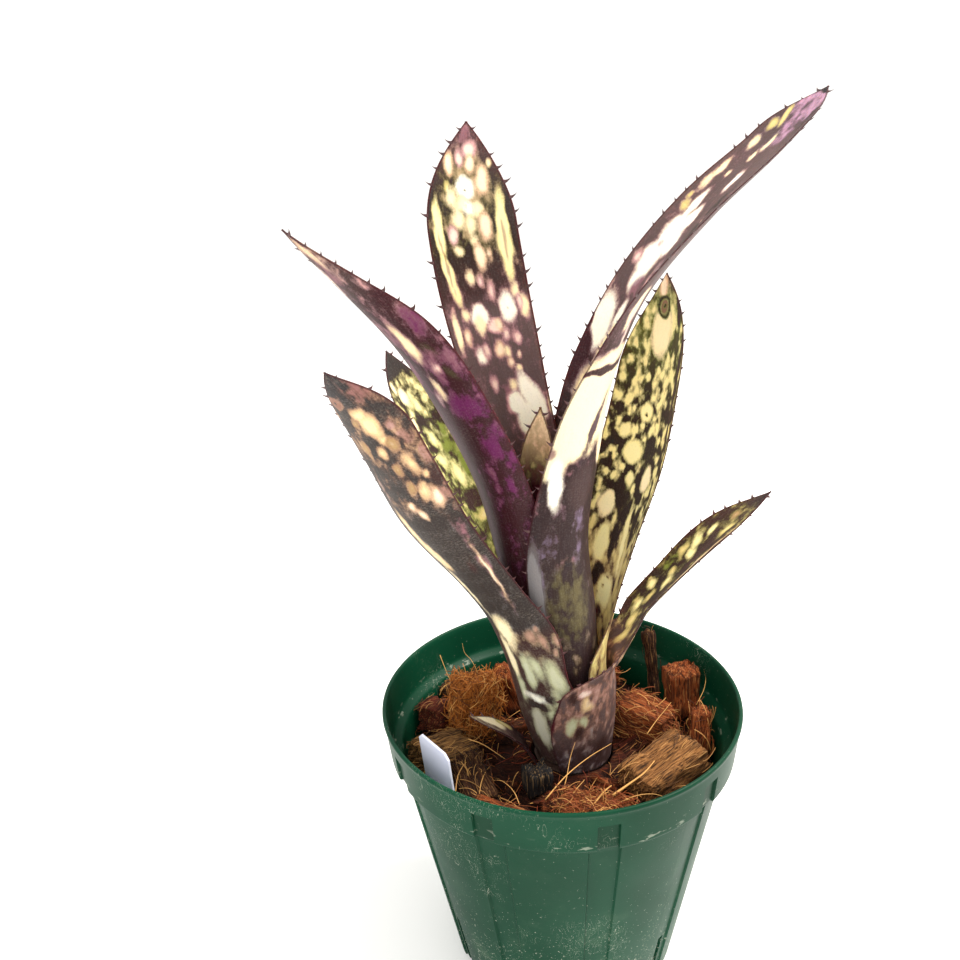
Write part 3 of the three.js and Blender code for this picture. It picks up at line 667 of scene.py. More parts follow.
def build_blade(name, plan):
    """A closed blade with a rounded edge, and what its finish and its spines read from each point."""
    grid = blade_surface(plan)
    rows, columns = grid["across"].shape
    inset = np.clip(grid["inset"] / MARGIN_WIDTH, 0, 1)
    depth = (MARGIN_THICKNESS + (BLADE_THICKNESS - MARGIN_THICKNESS) * inset)[..., None]
    rim = grid["middle"] + grid["outward"] * RIM_BULGE
    sheets = [(face, slice(None), grid["middle"] + grid["normal"] * (face * depth / 2)) for face in (1, -1)]
    sheets += [(0, edge, rim) for edge in (0, -1)]
    kept = dict(points=[], place=[], inset=[], outward=[], along=[], margin=[])
    for face, part, points in sheets:
        across = grid["across"][:, part]
        place = np.stack([across, grid["to_tip"][:, part], np.full(across.shape, float(face))], -1)
        sheet = {key: grid[key][:, part] for key in ("inset", "outward", "along")}
        sheet |= dict(points=points[:, part], place=place, margin=grid["spined"][:, part] & (face == 0))
        for key, values in sheet.items():
            kept[key].append(values.reshape(across.size, -1))
    kept = {key: np.concatenate(values) for key, values in kept.items()}
    size = rows * columns
    index = np.arange(size).reshape(rows, columns)
    corners = (index[:-1, :-1], index[:-1, 1:], index[1:, :-1], index[1:, 1:])
    p, q, s, t = (corner.ravel() for corner in corners)
    faces = [*zip(p, q, t, s), *zip(p + size, s + size, t + size, q + size)]
    left, right = 2 * size, 2 * size + rows
    for r in range(rows - 1):
        a, b, m = index[r, 0], index[r + 1, 0], left + r
        faces += [(a, b, m + 1, m), (m, m + 1, b + size, a + size)]
        a, b, m = index[r, -1], index[r + 1, -1], right + r
        faces += [(a, m, m + 1, b), (m, a + size, b + size, m + 1)]
    foot, top = index[0], index[-1]
    faces.append([left, *(foot + size), right, *foot[::-1]])
    faces.append([left + rows - 1, *top, right + rows - 1, *(top[::-1] + size)])
    piece = mesh_object(name, kept.pop("points") * MM, faces)
    for key, kind in (("inset", "FLOAT"), ("margin", "BOOLEAN")):
        store(piece, key, kind, kept[key])
    for key in ("place", "outward", "along"):
        store(piece, key, "FLOAT_VECTOR", kept[key])
    return piece, kept["place"]


def spine_tree():
    """Curved dark spines along a blade's margin, at a pitch, each a little off its place and size."""
    tree = Tree("margin_spines", Pitch="Float", Length="Float", Width="Float", Seed="Int",
                Skin="Material", Spine="Material")
    blade, width, seed = tree.input("Geometry"), tree.input("Width"), tree.input("Seed")
    along, outward = tree.named("along", "FLOAT_VECTOR"), tree.named("outward", "FLOAT_VECTOR")
    curve = tree.shape("MeshToCurve", {"Mesh": blade, "Selection": tree.named("margin", "BOOLEAN")})
    curve = tree.shape("ResampleCurve", {"Curve": curve, "Length": tree.input("Pitch")}, mode="LENGTH")
    slide = tree.vector("SCALE", along, tree.random(-0.0004, 0.0004, seed))
    offset = tree.vector("ADD", slide, tree.vector("SCALE", outward, -0.0005))
    points = tree.shape("CurveToPoints", {"Curve": curve}, mode="EVALUATED")
    points = tree.shape("SetPosition", {"Geometry": points, "Offset": offset})
    chance = {"Probability": 0.14, "Seed": 2}
    missing = tree.add("FunctionNodeRandomValue", {"data_type": "BOOLEAN"}, chance, 3)
    points = tree.shape("DeleteGeometry", {"Geometry": points, "Selection": missing})
    sizes = {"Vertices": 6, "Side Segments": 4, "Radius Top": 0.02, "Radius Bottom": 1.0, "Depth": 1.0}
    cone = tree.shape("MeshCone", sizes, fill_type="NGON")
    height = tree.add("ShaderNodeSeparateXYZ", None, {0: tree.shape("InputPosition")}, 2)
    bend = tree.add("ShaderNodeCombineXYZ", None, {0: height * height * 2.0})
    spine = tree.shape("SetPosition", {"Geometry": cone, "Offset": bend})
    form = tree.add("ShaderNodeCombineXYZ", None, {0: width, 1: width * 0.42, 2: tree.input("Length")})
    size = tree.vector("SCALE", form, tree.random(0.62, 1.12, seed))
    spines = tree.instances(points, spine, tree.aimed("Z", outward, "X", along), size)
    return tree.done(tree.joined(tree.covered(tree.realized(spines), "Spine"), tree.covered(blade, "Skin")))


def spine_finish():
    finish = Finish("spine_brown")
    tone = finish.mix("2a1416", "5a3030", finish.noise(finish.where(), 300.0, 2.0))
    return finish.done(Base_Color=tone, Roughness=0.45)


PALETTE = {
    "cream": "fbe7b9", "white": "fff8e4", "butter": "f1e4a4", "straw": "d6c47e", "olive": "4d481c",
    "green": "7f8a38", "pink": "d8a8a4", "peach": "ecc6a0", "rose": "8e6068", "blush": "b0897e",
    # One grey here paints a highlight: the strip on the arching leaf's tube
    "salmon": "b08a74", "steel": "5e5656", "magenta": "62194e", "wine": "340d15", "maroon": "39211e",
    "plum": "402c2b", "slate": "2f2724", "ash": "9a9290", "brown": "291811", "tan": "a98a5c",
    "lilac": "726077", "mint": "bdbe98", "soot": "231e20", "orchid": "b58ba2", "mauve": "554046",
    "honey": "e4c492", "clay": "8a5f4c", "fawn": "b8a078", "stone": "b4b096", "dusty": "5b4846",
    "dusk": "2c1a1b", "moss": "5c5233", "khaki": "403521", "crimson": "531621",
}

# Tones whose patches darken the ground, and tones whose patches have a wide soft edge
DARK_TONES = {"brown", "crimson", "khaki", "maroon", "mauve", "olive", "plum", "slate", "soot", "wine"}
SOFT_TONES = {
    "ash", "blush", "fawn", "green", "khaki", "lilac", "magenta", "mauve", "moss", "orchid", "rose", "slate",
}

# How each leaf is coloured, by distance from its tip in mm.
# A ground row: distance, dark colour, pale colour, colour round the pale spots, share of pale, and mottling.
# A group of patches has one colour. A patch: distance from the tip, place across, half length, half width,
# and its turn in degrees if it has one. A later patch covers an earlier one.
COATS = {
    "leaf_right_low": dict(cell=3.4, soft=3.6, blur=0.36, rounds=1.3, bloom=0.1, ground=[
        (0, "soot", "straw", "maroon", 0, 0.1), (13, "maroon", "straw", "olive", 0.2, 0.5),
        (60, "brown", "straw", "olive", 0.16, 0.9), (78, "maroon", "straw", "olive", 0.25, 0.9),
        (92, "dusty", "blush", "clay", 0.3, 1.0), (115, "dusty", "blush", "clay", 0.28, 1.0),
        (130, "plum", "ash", "mauve", 0.2, 0.8),
    ], inner=[
        ("peach", (50, -7.6, 26, 0.7)), ("tan", (17, 1, 2.5, 1.6)),
        ("butter", (28, 3.2, 2.6, 1, -20), (36, 4, 4.2, 1.6, -20), (41, 1.5, 3.2, 2.1), (62, 6.5, 2.6, 2)),
        ("straw", (24, -3, 5, 1.2), (42.5, 6, 3, 1.6)), ("green", (50, 6.2, 3.6, 1.9)),
        ("straw", (52, 2.6, 2.5, 1.4)), ("butter", (57, 0.5, 4, 1.4, -10)),
        ("maroon", (40, -3, 12, 1.6), (64, -3.5, 9, 1.4)), ("straw", (66, 2.8, 3.6, 1.3)),
        ("butter", (72, 5, 3, 1.3)), ("straw", (78, 2.5, 4.5, 2), (86, 1, 5, 1.8)),
    ], outer=[
        ("crimson", (113, -47, 13, 1.8)), ("pink", (98, -34, 2.2, 3)), ("honey", (103.5, -32.5, 3.5, 2.6)),
        ("mint", (112, -33.5, 3, 2.2), (114, -38.3, 4.8, 2.4)),
        ("blush", (94, -23, 4, 3), (101.5, -29, 3, 2), (104, -24, 6, 1.2), (95, -38, 3, 2), (107, -42, 3, 2)),
        ("ash", (119, -28, 4, 1.6, 10), (121, -41, 3, 1.5), (110, -19, 8, 0.9), (100, -15, 9, 0.8)),
        ("maroon", (128, -22, 5, 3), (99, -39, 3, 2), (117, -35, 4, 2)),
    ]),
    "leaf_left_low": dict(cell=4, soft=4.2, blur=0.4, rounds=1.0, bloom=0.26, ground=[
        (0, "soot", "rose", "soot", 0, 0.1), (9, "soot", "rose", "clay", 0.05, 0.3),
        (18, "slate", "honey", "clay", 0.12, 0.6), (60, "slate", "honey", "clay", 0.12, 0.6),
        (72, "slate", "ash", "slate", 0.06, 0.35), (132, "slate", "ash", "slate", 0.06, 0.35),
        (138, "maroon", "honey", "plum", 0.05, 0.4), (158, "maroon", "mint", "plum", 0.1, 0.4),
        (200, "maroon", "mint", "plum", 0.15, 0.4),
    ], outer=[
        ("clay", (14.5, -7.5, 2.6, 2)), ("soot", (14.5, -7.5, 0.9, 0.7)), ("stone", (182, 7, 11, 3.4)),
        ("peach", (63, 0.5, 2.2, 1.2), (66.5, 3.4, 3, 1.4, 20)), ("salmon", (141, 25, 2.2, 1.1)),
        ("rose", (8, 5, 6, 3.5)), ("honey", (20, -1, 3, 3), (25, 0.8, 5.4, 3.8)),
        ("blush", (24.5, 7.5, 2.6, 1.8), (31, 10.5, 3, 2.2)), ("honey", (31, 2.5, 2.6, 1.6)),
        ("tan", (24, -5, 2, 1.2), (33, 5, 2.6, 2), (36, -7, 2.6, 1.4)), ("ash", (56, -10.8, 12, 1)),
        ("honey", (37, -0.5, 2.8, 1.7), (43, 8, 4.4, 1.7, 8), (78, -7.2, 11, 2, 16), (90, -3.6, 9, 2.6, 16)),
        ("cream", (112, -2, 14, 1, 8), (135, 5, 9, 4.4), (150, 1.2, 11, 2.2)), ("brown", (139, 2.5, 4, 0.5)),
        ("blush", (40, 14, 4, 1.6)), ("honey", (48, 11, 1.8, 1.2), (55, 8, 3.6, 2)),
        ("tan", (45, 2, 2.6, 1.4), (53.5, 4, 2.4, 1.4)), ("peach", (58.5, 11.5, 4, 2.1)),
        ("blush", (57, 15, 4, 1.8)), ("maroon", (50, 13.5, 4, 1.6)),
        ("rose", (72, 14, 7, 2), (96, 14, 24, 1.6)),
        ("salmon", (137, 16, 3.4, 1.8), (140, 20, 3.2, 1.3, 10), (134, 19.2, 1.6, 1), (145, 23, 1.4, 1)),
        ("peach", (102, 14, 15, 0.6)), ("maroon", (97, 9, 3, 1)),
        ("mint", (164, 2, 6, 1.8), (154, 8.7, 8, 2.3), (151, 13, 5, 2.2, 8), (155.5, 19.4, 7.6, 3.3, 8),
         (166, 17.6, 5.5, 2.2), (172.5, 13.5, 4.4, 2)), ("white", (166.5, 8.4, 4.8, 1.9, 84)),
        ("slate", (166, 14.8, 1.8, 2), (170.6, 8, 1.3, 4.6, -6)), ("crimson", (180, 14, 10, 1.5, -19)),
    ]),
    "leaf_right_back": dict(cell=3.1, soft=2.6, blur=0.34, rounds=1.9, bloom=0.05, ground=[
        (0, "plum", "cream", "rose", 0.1, 0.1), (9, "maroon", "butter", "green", 0.35, 0.5),
        (18, "olive", "butter", "green", 0.62, 1.0), (52, "brown", "butter", "olive", 0.46, 1.2),
        (95, "brown", "butter", "olive", 0.44, 1.2), (125, "maroon", "straw", "tan", 0.5, 0.7),
    ], inner=[
        ("maroon", (46, -16, 30, 1.4), (14, -9.5, 8, 1.6, -8)), ("peach", (6, 1, 5, 2.2)),
        ("cream", (23, 0, 11, 5.6), (83, -7, 5.8, 3), (99, 10, 6, 4)),
        ("butter", (57, 1.8, 4.2, 3.8), (74.5, 5, 5.6, 5.4), (66, 11, 4, 3), (86, 3, 3.6, 2.6),
         (115, 7, 9, 3.6)),
        ("brown", (13.5, 0, 5, 3.7), (57.5, 1.8, 0.9, 0.8), (72, -3.5, 6, 2.2), (97, 2, 9, 3, -14),
         (112, 1.5, 9, 1.8), (127, 5, 4, 3)), ("clay", (13.5, 0, 2.6, 1.8)),
        ("butter", (110, -5, 16, 1.5, -4)), ("straw", (120, -8.4, 16, 1.3)), ("butter", (134, -1, 7, 5)),
        ("soot", (132, 1, 0.6, 0.5), (128, -1, 0.6, 0.5), (136, 3, 0.6, 0.5), (72, 15.5, 0.8, 0.6),
         (78, 15, 0.8, 0.6)), ("brown", (13.5, 0, 1, 0.8), (104, -9.5, 10, 1.2)),
        ("crimson", (146, 1.5, 4.5, 2.2)),
    ]),
    "leaf_left_back": dict(cell=3.6, soft=4, blur=0.34, rounds=1.3, bloom=0.05, ground=[
        (0, "slate", "straw", "slate", 0, 0.1), (9, "slate", "straw", "slate", 0.05, 0.4),
        (15, "brown", "butter", "olive", 0.4, 1.0), (60, "maroon", "butter", "green", 0.4, 1.1),
        (80, "maroon", "straw", "green", 0.35, 0.9), (140, "maroon", "straw", "green", 0.35, 0.9),
    ], inner=[
        ("cream", (20, 3, 4, 2.8), (15, 6.5, 2.4, 1.2), (31, 5.5, 3.4, 1.5)), ("butter", (26, -2, 3, 1.6)),
        ("brown", (33, 1.5, 3, 2.4)), ("butter", (41, 0.5, 4, 2.2)),
        ("green", (39, -7, 3, 1.5), (47, -5.5, 4, 3)), ("butter", (51, 2, 4, 2), (60, -3, 6.4, 2.2)),
        ("green", (57, -8, 6, 1.6)), ("maroon", (72, -4, 5, 5)), ("straw", (79.5, -5, 2.6, 4.4)),
        ("olive", (86, -6, 4.4, 3)), ("green", (95, -5, 5, 1.6)),
    ]),
    "leaf_right_arch": dict(cell=4, soft=3, blur=0.34, rounds=0.9, bloom=0.06, ground=[
        (0, "slate", "orchid", "mauve", 0.1, 0.1), (26, "dusty", "orchid", "mauve", 0.12, 0.3),
        (40, "dusty", "cream", "rose", 0.05, 0.35), (95, "dusty", "cream", "rose", 0.05, 0.35),
        (120, "maroon", "white", "rose", 0.08, 0.3), (165, "dusk", "rose", "plum", 0.05, 0.7),
        (190, "dusk", "lilac", "plum", 0.08, 0.9), (204, "dusk", "lilac", "khaki", 0.1, 0.9),
        (262, "dusk", "tan", "khaki", 0.15, 1.0),
    ], inner=[
        ("slate", (62, -3, 14, 1.2)), ("orchid", (8, 0, 9, 9), (19, 1, 9, 4, 4)), ("soot", (1, 0, 2.4, 4)),
        ("cream", (27, 3, 4, 0.8), (34, 4.4, 2.4, 0.7), (43, 11.2, 4.4, 1), (49, 12, 4, 1.3),
         (44, 6.8, 1.6, 0.6)), ("plum", (16, -7, 6, 1.4)),
        ("white", (46, 1.4, 5.4, 1.1), (60, 8.6, 8, 1.5, 4), (65, 4.8, 6.5, 2, 4)),
        ("straw", (15.5, 6.4, 5, 1, -12), (20, 8.4, 2.6, 1.4), (57.5, 13.6, 1.4, 0.8), (61, 12.2, 1.8, 1.4)),
        ("white", (72, 8, 8, 4.6), (76, 4.4, 6, 2.6), (84, 9.4, 8, 4.6), (92, 8.8, 6, 3.4)),
        ("rose", (96, 6.4, 4, 2.6)), ("ash", (86, 1, 12, 0.8)),
        ("pink", (78, 9.2, 1.3, 0.6), (85.5, 15, 2.6, 1.3), (97.5, 20.6, 3.4, 1.4), (100, 2, 10, 0.8)),
        ("white", (111, 16.5, 11, 4.5), (107, 9, 7, 1.5, 10)),
        ("cream", (29, 9, 3.2, 1.2), (119, 11.6, 9, 1.4, 18)),
        ("wine", (126, 21, 11, 4), (109, 21.6, 8, 1.2)), ("cream", (140, 14, 12, 6)),
        ("pink", (112, 5, 8, 1.3), (160, 8, 14, 6)),
    ], outer=[
        ("slate", (40, 0, 30, 8)),
        ("cream", (137, -14, 16, 15), (148, -21, 12, 12), (157, -27, 9, 8), (150, -4, 12, 3.4),
         (80, 6, 12, 4), (70, -6, 14, 4), (103, -15, 8, 2), (150, 12, 20, 10)),
        ("mauve", (145, -11.4, 12, 1.3, -14)), ("pink", (112, -13, 7, 0.8, 6)),
        ("cream", (121.5, -15, 9, 3.2, -52)), ("white", (168, -24, 8, 2.8)),
        ("maroon", (168, -31, 6, 2), (125.5, -15.5, 11.5, 1.5, -68)), ("clay", (156.5, -27, 1.8, 1.7)),
        ("rose", (164, -15, 5, 5), (175, -31, 4, 2)), ("plum", (169, -13, 8, 6), (110, -2.5, 18, 3)),
        ("lilac", (191, -25.5, 7, 2.8), (183, -13, 6, 2.4)), ("rose", (197, -19, 2.4, 4)),
        # The grey strip at 212 mm from the tip is a painted highlight, where the round tube faces the light
        ("lilac", (194, -12, 5, 1.6), (211, -9, 9, 1.2)), ("steel", (212, -31.5, 24, 3.6)),
        ("moss", (215, -18, 16, 9), (222, -22, 4, 2)), ("brown", (204, -17, 3, 1), (210, -24, 4, 1)),
        ("soot", (195, -27.5, 0.7, 0.6), (208.5, -26.6, 0.7, 0.5), (211, -26.6, 0.7, 0.5),
         (173.5, -29.5, 0.6, 0.5), (185.5, -30.5, 0.6, 0.5), (198, -18, 1.2, 0.8)),
    ]),
    "leaf_left_arch": dict(cell=4.2, soft=5.5, blur=0.45, rounds=0.8, bloom=0.1, ground=[
        (0, "plum", "cream", "rose", 0.1, 0.2), (8, "plum", "cream", "rose", 0.35, 0.6),
        (26, "plum", "pink", "mauve", 0.25, 0.8), (40, "wine", "pink", "rose", 0.12, 0.8),
        (72, "wine", "rose", "magenta", 0.12, 0.9), (118, "wine", "rose", "magenta", 0.06, 0.7),
        (190, "wine", "rose", "magenta", 0.02, 0.2),
    ], inner=[
        ("cream", (40, 0, 12, 4)), ("pink", (70, 4, 12, 5), (100, -4, 10, 6)),
    ], outer=[
        ("wine", (46, 12, 15, 5), (38, 12.6, 6, 1.8)), ("cream", (12, 1, 6, 1, 8), (54, 5.4, 9, 2.5, 10)),
        ("white", (24, -2.4, 7, 1.4)), ("magenta", (47, 14, 5, 3)), ("plum", (28, 1.6, 5, 1)),
        ("khaki", (58, 12, 3, 1.4, 30)), ("rose", (63, 17.4, 4, 3), (66, 10, 6, 4)),
        ("cream", (73, 6.4, 5, 1.8, 8)), ("rose", (44, 0, 26, 2.6)),
        ("pink", (65, 11, 2, 1.4), (78, 4, 4, 1.4), (125, 25, 1.2, 0.9)), ("khaki", (68, 15, 3, 1.2, 30)),
        ("magenta", (82, 12.6, 5, 4), (85, 18.6, 4, 3), (98, 17.4, 7, 3.6), (106, 21, 5, 2.4)),
        ("wine", (92, 8, 5, 3)), ("rose", (111, 12.4, 6, 1.5)), ("magenta", (118, 17, 5, 1.4)),
        ("mauve", (120, 0, 48, 5)), ("plum", (130, 5, 40, 1)),
    ]),
    "leaf_tall_back": dict(cell=4, soft=3, blur=0.36, rounds=1.2, bloom=0.04, ground=[
        (0, "slate", "pink", "rose", 0.05, 0.1), (4, "plum", "pink", "rose", 0.1, 0.3),
        (17, "plum", "peach", "olive", 0.12, 0.5), (26, "slate", "peach", "olive", 0.12, 0.5),
        (46, "brown", "peach", "olive", 0.08, 0.5), (62, "maroon", "peach", "rose", 0.05, 0.4),
        (70, "dusty", "pink", "rose", 0.08, 0.45), (140, "dusty", "pink", "rose", 0.1, 0.45),
    ], inner=[
        ("fawn", (30, 1, 20, 9)), ("pink", (82.5, -9, 2.1, 1.3), (97.5, 5, 3.2, 1.4)),
        ("rose", (6, 1, 3.4, 1.8), (100.5, 1.1, 3, 2.1)),
        ("cream", (15, -8, 1.1, 1), (56.5, 4, 2.7, 1.5), (75, 13.8, 7, 1.4), (100.5, -2, 2.6, 1.4)),
        ("peach", (15, 7, 4, 1.8)), ("pink", (10, -0.6, 3.4, 2.6), (13, 3, 3, 1.6), (107, -0.6, 5, 3.6)),
        ("peach", (15, -1, 3, 2), (21, -5.4, 5.6, 2.6)),
        ("white", (24, 1.2, 4.3, 3.4), (71, 3.6, 4.6, 3.4), (107.5, -1.2, 4.6, 3)),
        ("straw", (22.5, 8, 1.6, 1.2)),
        ("cream", (27, 6.6, 4, 2), (28.6, 2.6, 2.6, 2), (31.5, -3.2, 2.8, 2.2), (74.5, 4, 3.4, 1.9)),
        ("soot", (23.8, 1.4, 0.5, 0.5)), ("white", (31.6, 0.3, 2.6, 1.6)),
        ("cream", (34.5, 4.6, 3.8, 2.1), (36.6, 0, 3.4, 1.9)),
        ("peach", (38.5, -5.2, 5.4, 2.6), (48.5, -5, 2.2, 0.8)), ("pink", (40, 7.6, 3.4, 1.9)),
        ("butter", (38, 13, 11.5, 1.9), (55, 11.7, 11, 1.8, -10), (42.5, -11.7, 18, 2.4),
         (45.5, -11.7, 7, 3)), ("tan", (50, 12.2, 9, 0.4, -6), (45, -11.8, 7, 0.4)),
        ("cream", (43, 0, 2.2, 1.4), (46, 6.2, 2, 1.7), (64, -12.2, 2.9, 1.6), (69.5, 8.8, 2.1, 1.3)),
        ("peach", (49, -1.4, 5.4, 2.1), (77.5, 10, 3.2, 1.3)),
        ("pink", (58, 0.4, 2.2, 1.2), (62.5, -3, 3.2, 1.1)),
        ("white", (70, -8, 5.8, 3.2), (86, 6.6, 3.1, 1.8)), ("soot", (69.8, -8, 0.5, 0.5)),
        ("cream", (70.5, -14.6, 4.4, 2)),
        ("pink", (69, -12.9, 3, 0.9), (76, -1.2, 2.8, 2.8), (84.5, 4.2, 3, 1.1)),
        ("peach", (75.6, -3.4, 2.2, 1.2)), ("pink", (80, -4.9, 2.2, 1.1)), ("peach", (85, -1, 3.4, 1.9)),
        ("cream", (87, -3.8, 1.9, 1.2)), ("peach", (91, -3.9, 2.1, 1.2)), ("cream", (94.5, -6.4, 1.7, 1.1)),
        ("white", (104.5, -7, 8, 3.1, -8), (110, -9, 7.5, 3.4), (115, -4, 8, 4.8)),
        ("cream", (112, -15, 4.2, 1.6), (128, -4, 8, 5)), ("peach", (89, -8, 1.6, 0.8), (140, 2, 8, 5)),
    ]),
    "leaf_heart": dict(cell=3.2, soft=3, blur=0.4, rounds=0.9, bloom=0.1, ground=[
        (0, "brown", "straw", "clay", 0.3, 0.3), (4, "fawn", "cream", "peach", 0.4, 0.7),
        (16, "fawn", "peach", "tan", 0.4, 0.8), (25, "clay", "straw", "maroon", 0.35, 0.9),
        (33, "crimson", "tan", "maroon", 0.25, 0.8), (90, "brown", "tan", "olive", 0.3, 0.7),
    ]),
    "leaf_basal": dict(cell=3, soft=3, blur=0.4, rounds=0.9, bloom=0.3, ground=[
        (0, "maroon", "cream", "tan", 0.3, 0.3), (10, "plum", "cream", "mauve", 0.3, 0.5),
        (24, "maroon", "rose", "plum", 0.25, 0.5),
    ], inner=[
        ("cream", (11, -3, 9, 2.4)), ("straw", (20, -5, 5, 1.2)),
    ], outer=[
        ("ash", (12, 3, 10, 2)),
    ]),
}


def paint_blade(piece, places, coat):
    """Works out the colours and the share of pale at each point of a blade from its coat."""
    across, to_tip, face = places.T
    distances, *columns = zip(*coat["ground"])
    tones = {}
    for key, names in zip(("dark", "pale_tone", "halo"), columns):
        table = np.array([colour(PALETTE[name])[:3] for name in names])
        tones[key] = np.stack([np.interp(to_tip, distances, table[:, c]) for c in range(3)], -1)
    pale, mottle = (np.interp(to_tip, distances, shares) for shares in columns[3:])
    warp_across = 0.3 * np.sin(across * 0.9 + 1.7) * np.sin(to_tip * 0.63 + across * 0.3)
    warp_along = 0.6 * np.sin(to_tip * 0.57 + 0.5) * np.sin(across * 0.83 + to_tip * 0.17)
    core_tone = np.array(colour("fff6dc")[:3])
    groups = [(side, *group) for side, key in ((1, "inner"), (-1, "outer")) for group in coat.get(key, [])]
    for side, tone, *patches in groups:
        target = colour(PALETTE[tone])[:3]
        blurred = tone in SOFT_TONES
        for distance, offset, half_length, half_width, *turn in patches:
            u = across - offset + warp_across
            v = to_tip - distance + warp_along
            angle = math.radians(turn[0] if turn else 0)
            cos, sin = math.cos(angle), math.sin(angle)
            ratio = np.hypot((v * cos + u * sin) / half_length, (u * cos - v * sin) / half_width)
            least = min(half_length, half_width)
            slender = half_length > 3.2 * half_width
            widening = 2.5 if blurred else 0.5 if slender else min(max(least / 4, 0.9), 2.2)
            softness = min(coat["soft"] * widening, 2 * least)
            field = (face * side >= 0) * np.clip(0.5 + (1 - ratio) * least / softness, 0, 1)
            if tone in DARK_TONES:
                share = np.clip(2 * field - 0.5, 0, 1)
                tones["dark"] += share[:, None] * (target - tones["dark"])
                pale = pale * (1 - share)
            else:
                share = np.clip(4 * field - 1, 0, 1)
                core = np.clip(1.6 - 2 * ratio, 0, 0.45)[:, None] * (tone in ("pink", "peach"))
                lit = target + core * (core_tone - target)
                tones["pale_tone"] += share[:, None] * (lit - tones["pale_tone"])
                pale = np.maximum(pale, field * (0.6 if blurred else 1))
            mottle = np.maximum(mottle, share) if blurred else mottle * (1 - share * 0.8)
    for key, tone in tones.items():
        store(piece, key, "FLOAT_COLOR", np.concatenate([tone, np.ones((len(tone), 1))], -1))
    store(piece, "pale", "FLOAT", pale)
    store(piece, "mottle", "FLOAT", mottle)


def leaf_finish(name, coat):
    """Soft pale spots with a coloured fringe on a dark ground, fine lines and a bloom of grey scales."""
    finish = Finish(name + "_skin")
    cell, blur, rounds = coat["cell"], coat["blur"], coat["rounds"]
    place = finish.attribute("place", "Vector")
    dark, pale_tone, halo_tone = (finish.attribute(key, "Color") for key in ("dark", "pale_tone", "halo"))
    pale, mottle, inset = (finish.attribute(key) for key in ("pale", "mottle", "inset"))
    spotted = finish.vector("MULTIPLY", place, (1 / cell, 0.6 / cell, 5.0))
    drift = finish.noise(spotted, 1.3, 2.0, output="Color")
    reach = 1.2 - rounds * 0.4
    spotted = finish.vector("ADD", spotted, finish.vector("MULTIPLY", drift, (reach, reach, 0)))
    cells = finish.cells(spotted)
    dots = finish.cells(finish.vector("MULTIPLY", spotted, (2.3, 2.3, 1.0)))
    blots = finish.noise(place, (0.5 / cell, 0.28 / cell, 3.0), 4.0, 0.6)
    fine = finish.noise(place, (1.9, 0.13, 1.0), 4.0, 0.6)
    grain = finish.noise(place, (1.5, 1.3, 1.0), 3.0, 0.7)
    crumbs = finish.noise(place, (0.8, 0.55, 4.0), 4.0, 0.65)
    ragged = (grain - 0.5) * 0.25 + (fine - 0.5) * 0.12 + (crumbs - 0.5) * 0.5
    spots = (0.42 - cells) * rounds + (0.36 - dots) * 0.7 + (blots - 0.5) * (2 - rounds)
    level = pale + mottle * spots + ragged
    scales = finish.noise(place, (0.8, 1.5, 1.0), 4.0, 0.8)
    bands = finish.noise(place, (0.03, 0.16, 1.0))
    bloom = scales.step(0.44, 0.7) * (bands.step(0.4, 0.6) * 0.75 + 0.25) * coat["bloom"]
    shade = (fine - 0.5) * 0.3 + (grain - 0.5) * 0.5
    tone = finish.layered(
        dark, (halo_tone, level.step(0.0, 0.5) * 0.85), (pale_tone, level.step(0.5 - blur, 0.5 + blur)),
        ("ffffff", pale.step(0.8, 1.0) * 0.1), ("a89c90", bloom), ("000000", (0 - shade).at_least(0.0) * 1.1),
        ("ffffff", shade.at_least(0.0) * 0.2), (PALETTE["wine"], (inset + grain * 0.5).step(1.0, 0.5) * 0.8),
    )
    ridges = finish.noise(place, (1.5, 0.02, 1.0), 2.0)
    normal = finish.bump(ridges * 0.7 + grain * 0.3, 0.00022, 0.5)
    return finish.done(
        Base_Color=tone, Roughness=0.42 + grain * 0.2, Normal=normal, Specular_IOR_Level=0.18,
        Subsurface_Weight=0.3, Subsurface_Radius=(1.0, 0.7, 0.4), Subsurface_Scale=0.002,
    )


def build_leaves():
    tree = spine_tree()
    spine = spine_finish()
    for order, (name, plan) in enumerate(LEAVES.items()):
        piece, places = build_blade(name.replace("leaf", "blade"), plan)
        paint_blade(piece, places, COATS[name])
        skin = leaf_finish(name, COATS[name])
        sizes = dict(Pitch=SPINE_PITCH * MM, Length=SPINE_LENGTH * MM, Width=SPINE_WIDTH * MM)
        grow(piece, tree, **sizes, Seed=order + 3, Skin=skin, Spine=spine)
        declare(piece, name)


# Potting mix
HUSK_TONES = {
    "orange": "b86a26", "red": "5c2212", "rust": "864019", "tan": "8c6438", "dark": "40220f",
    "olive": "885a30", "charcoal": "222224",
}

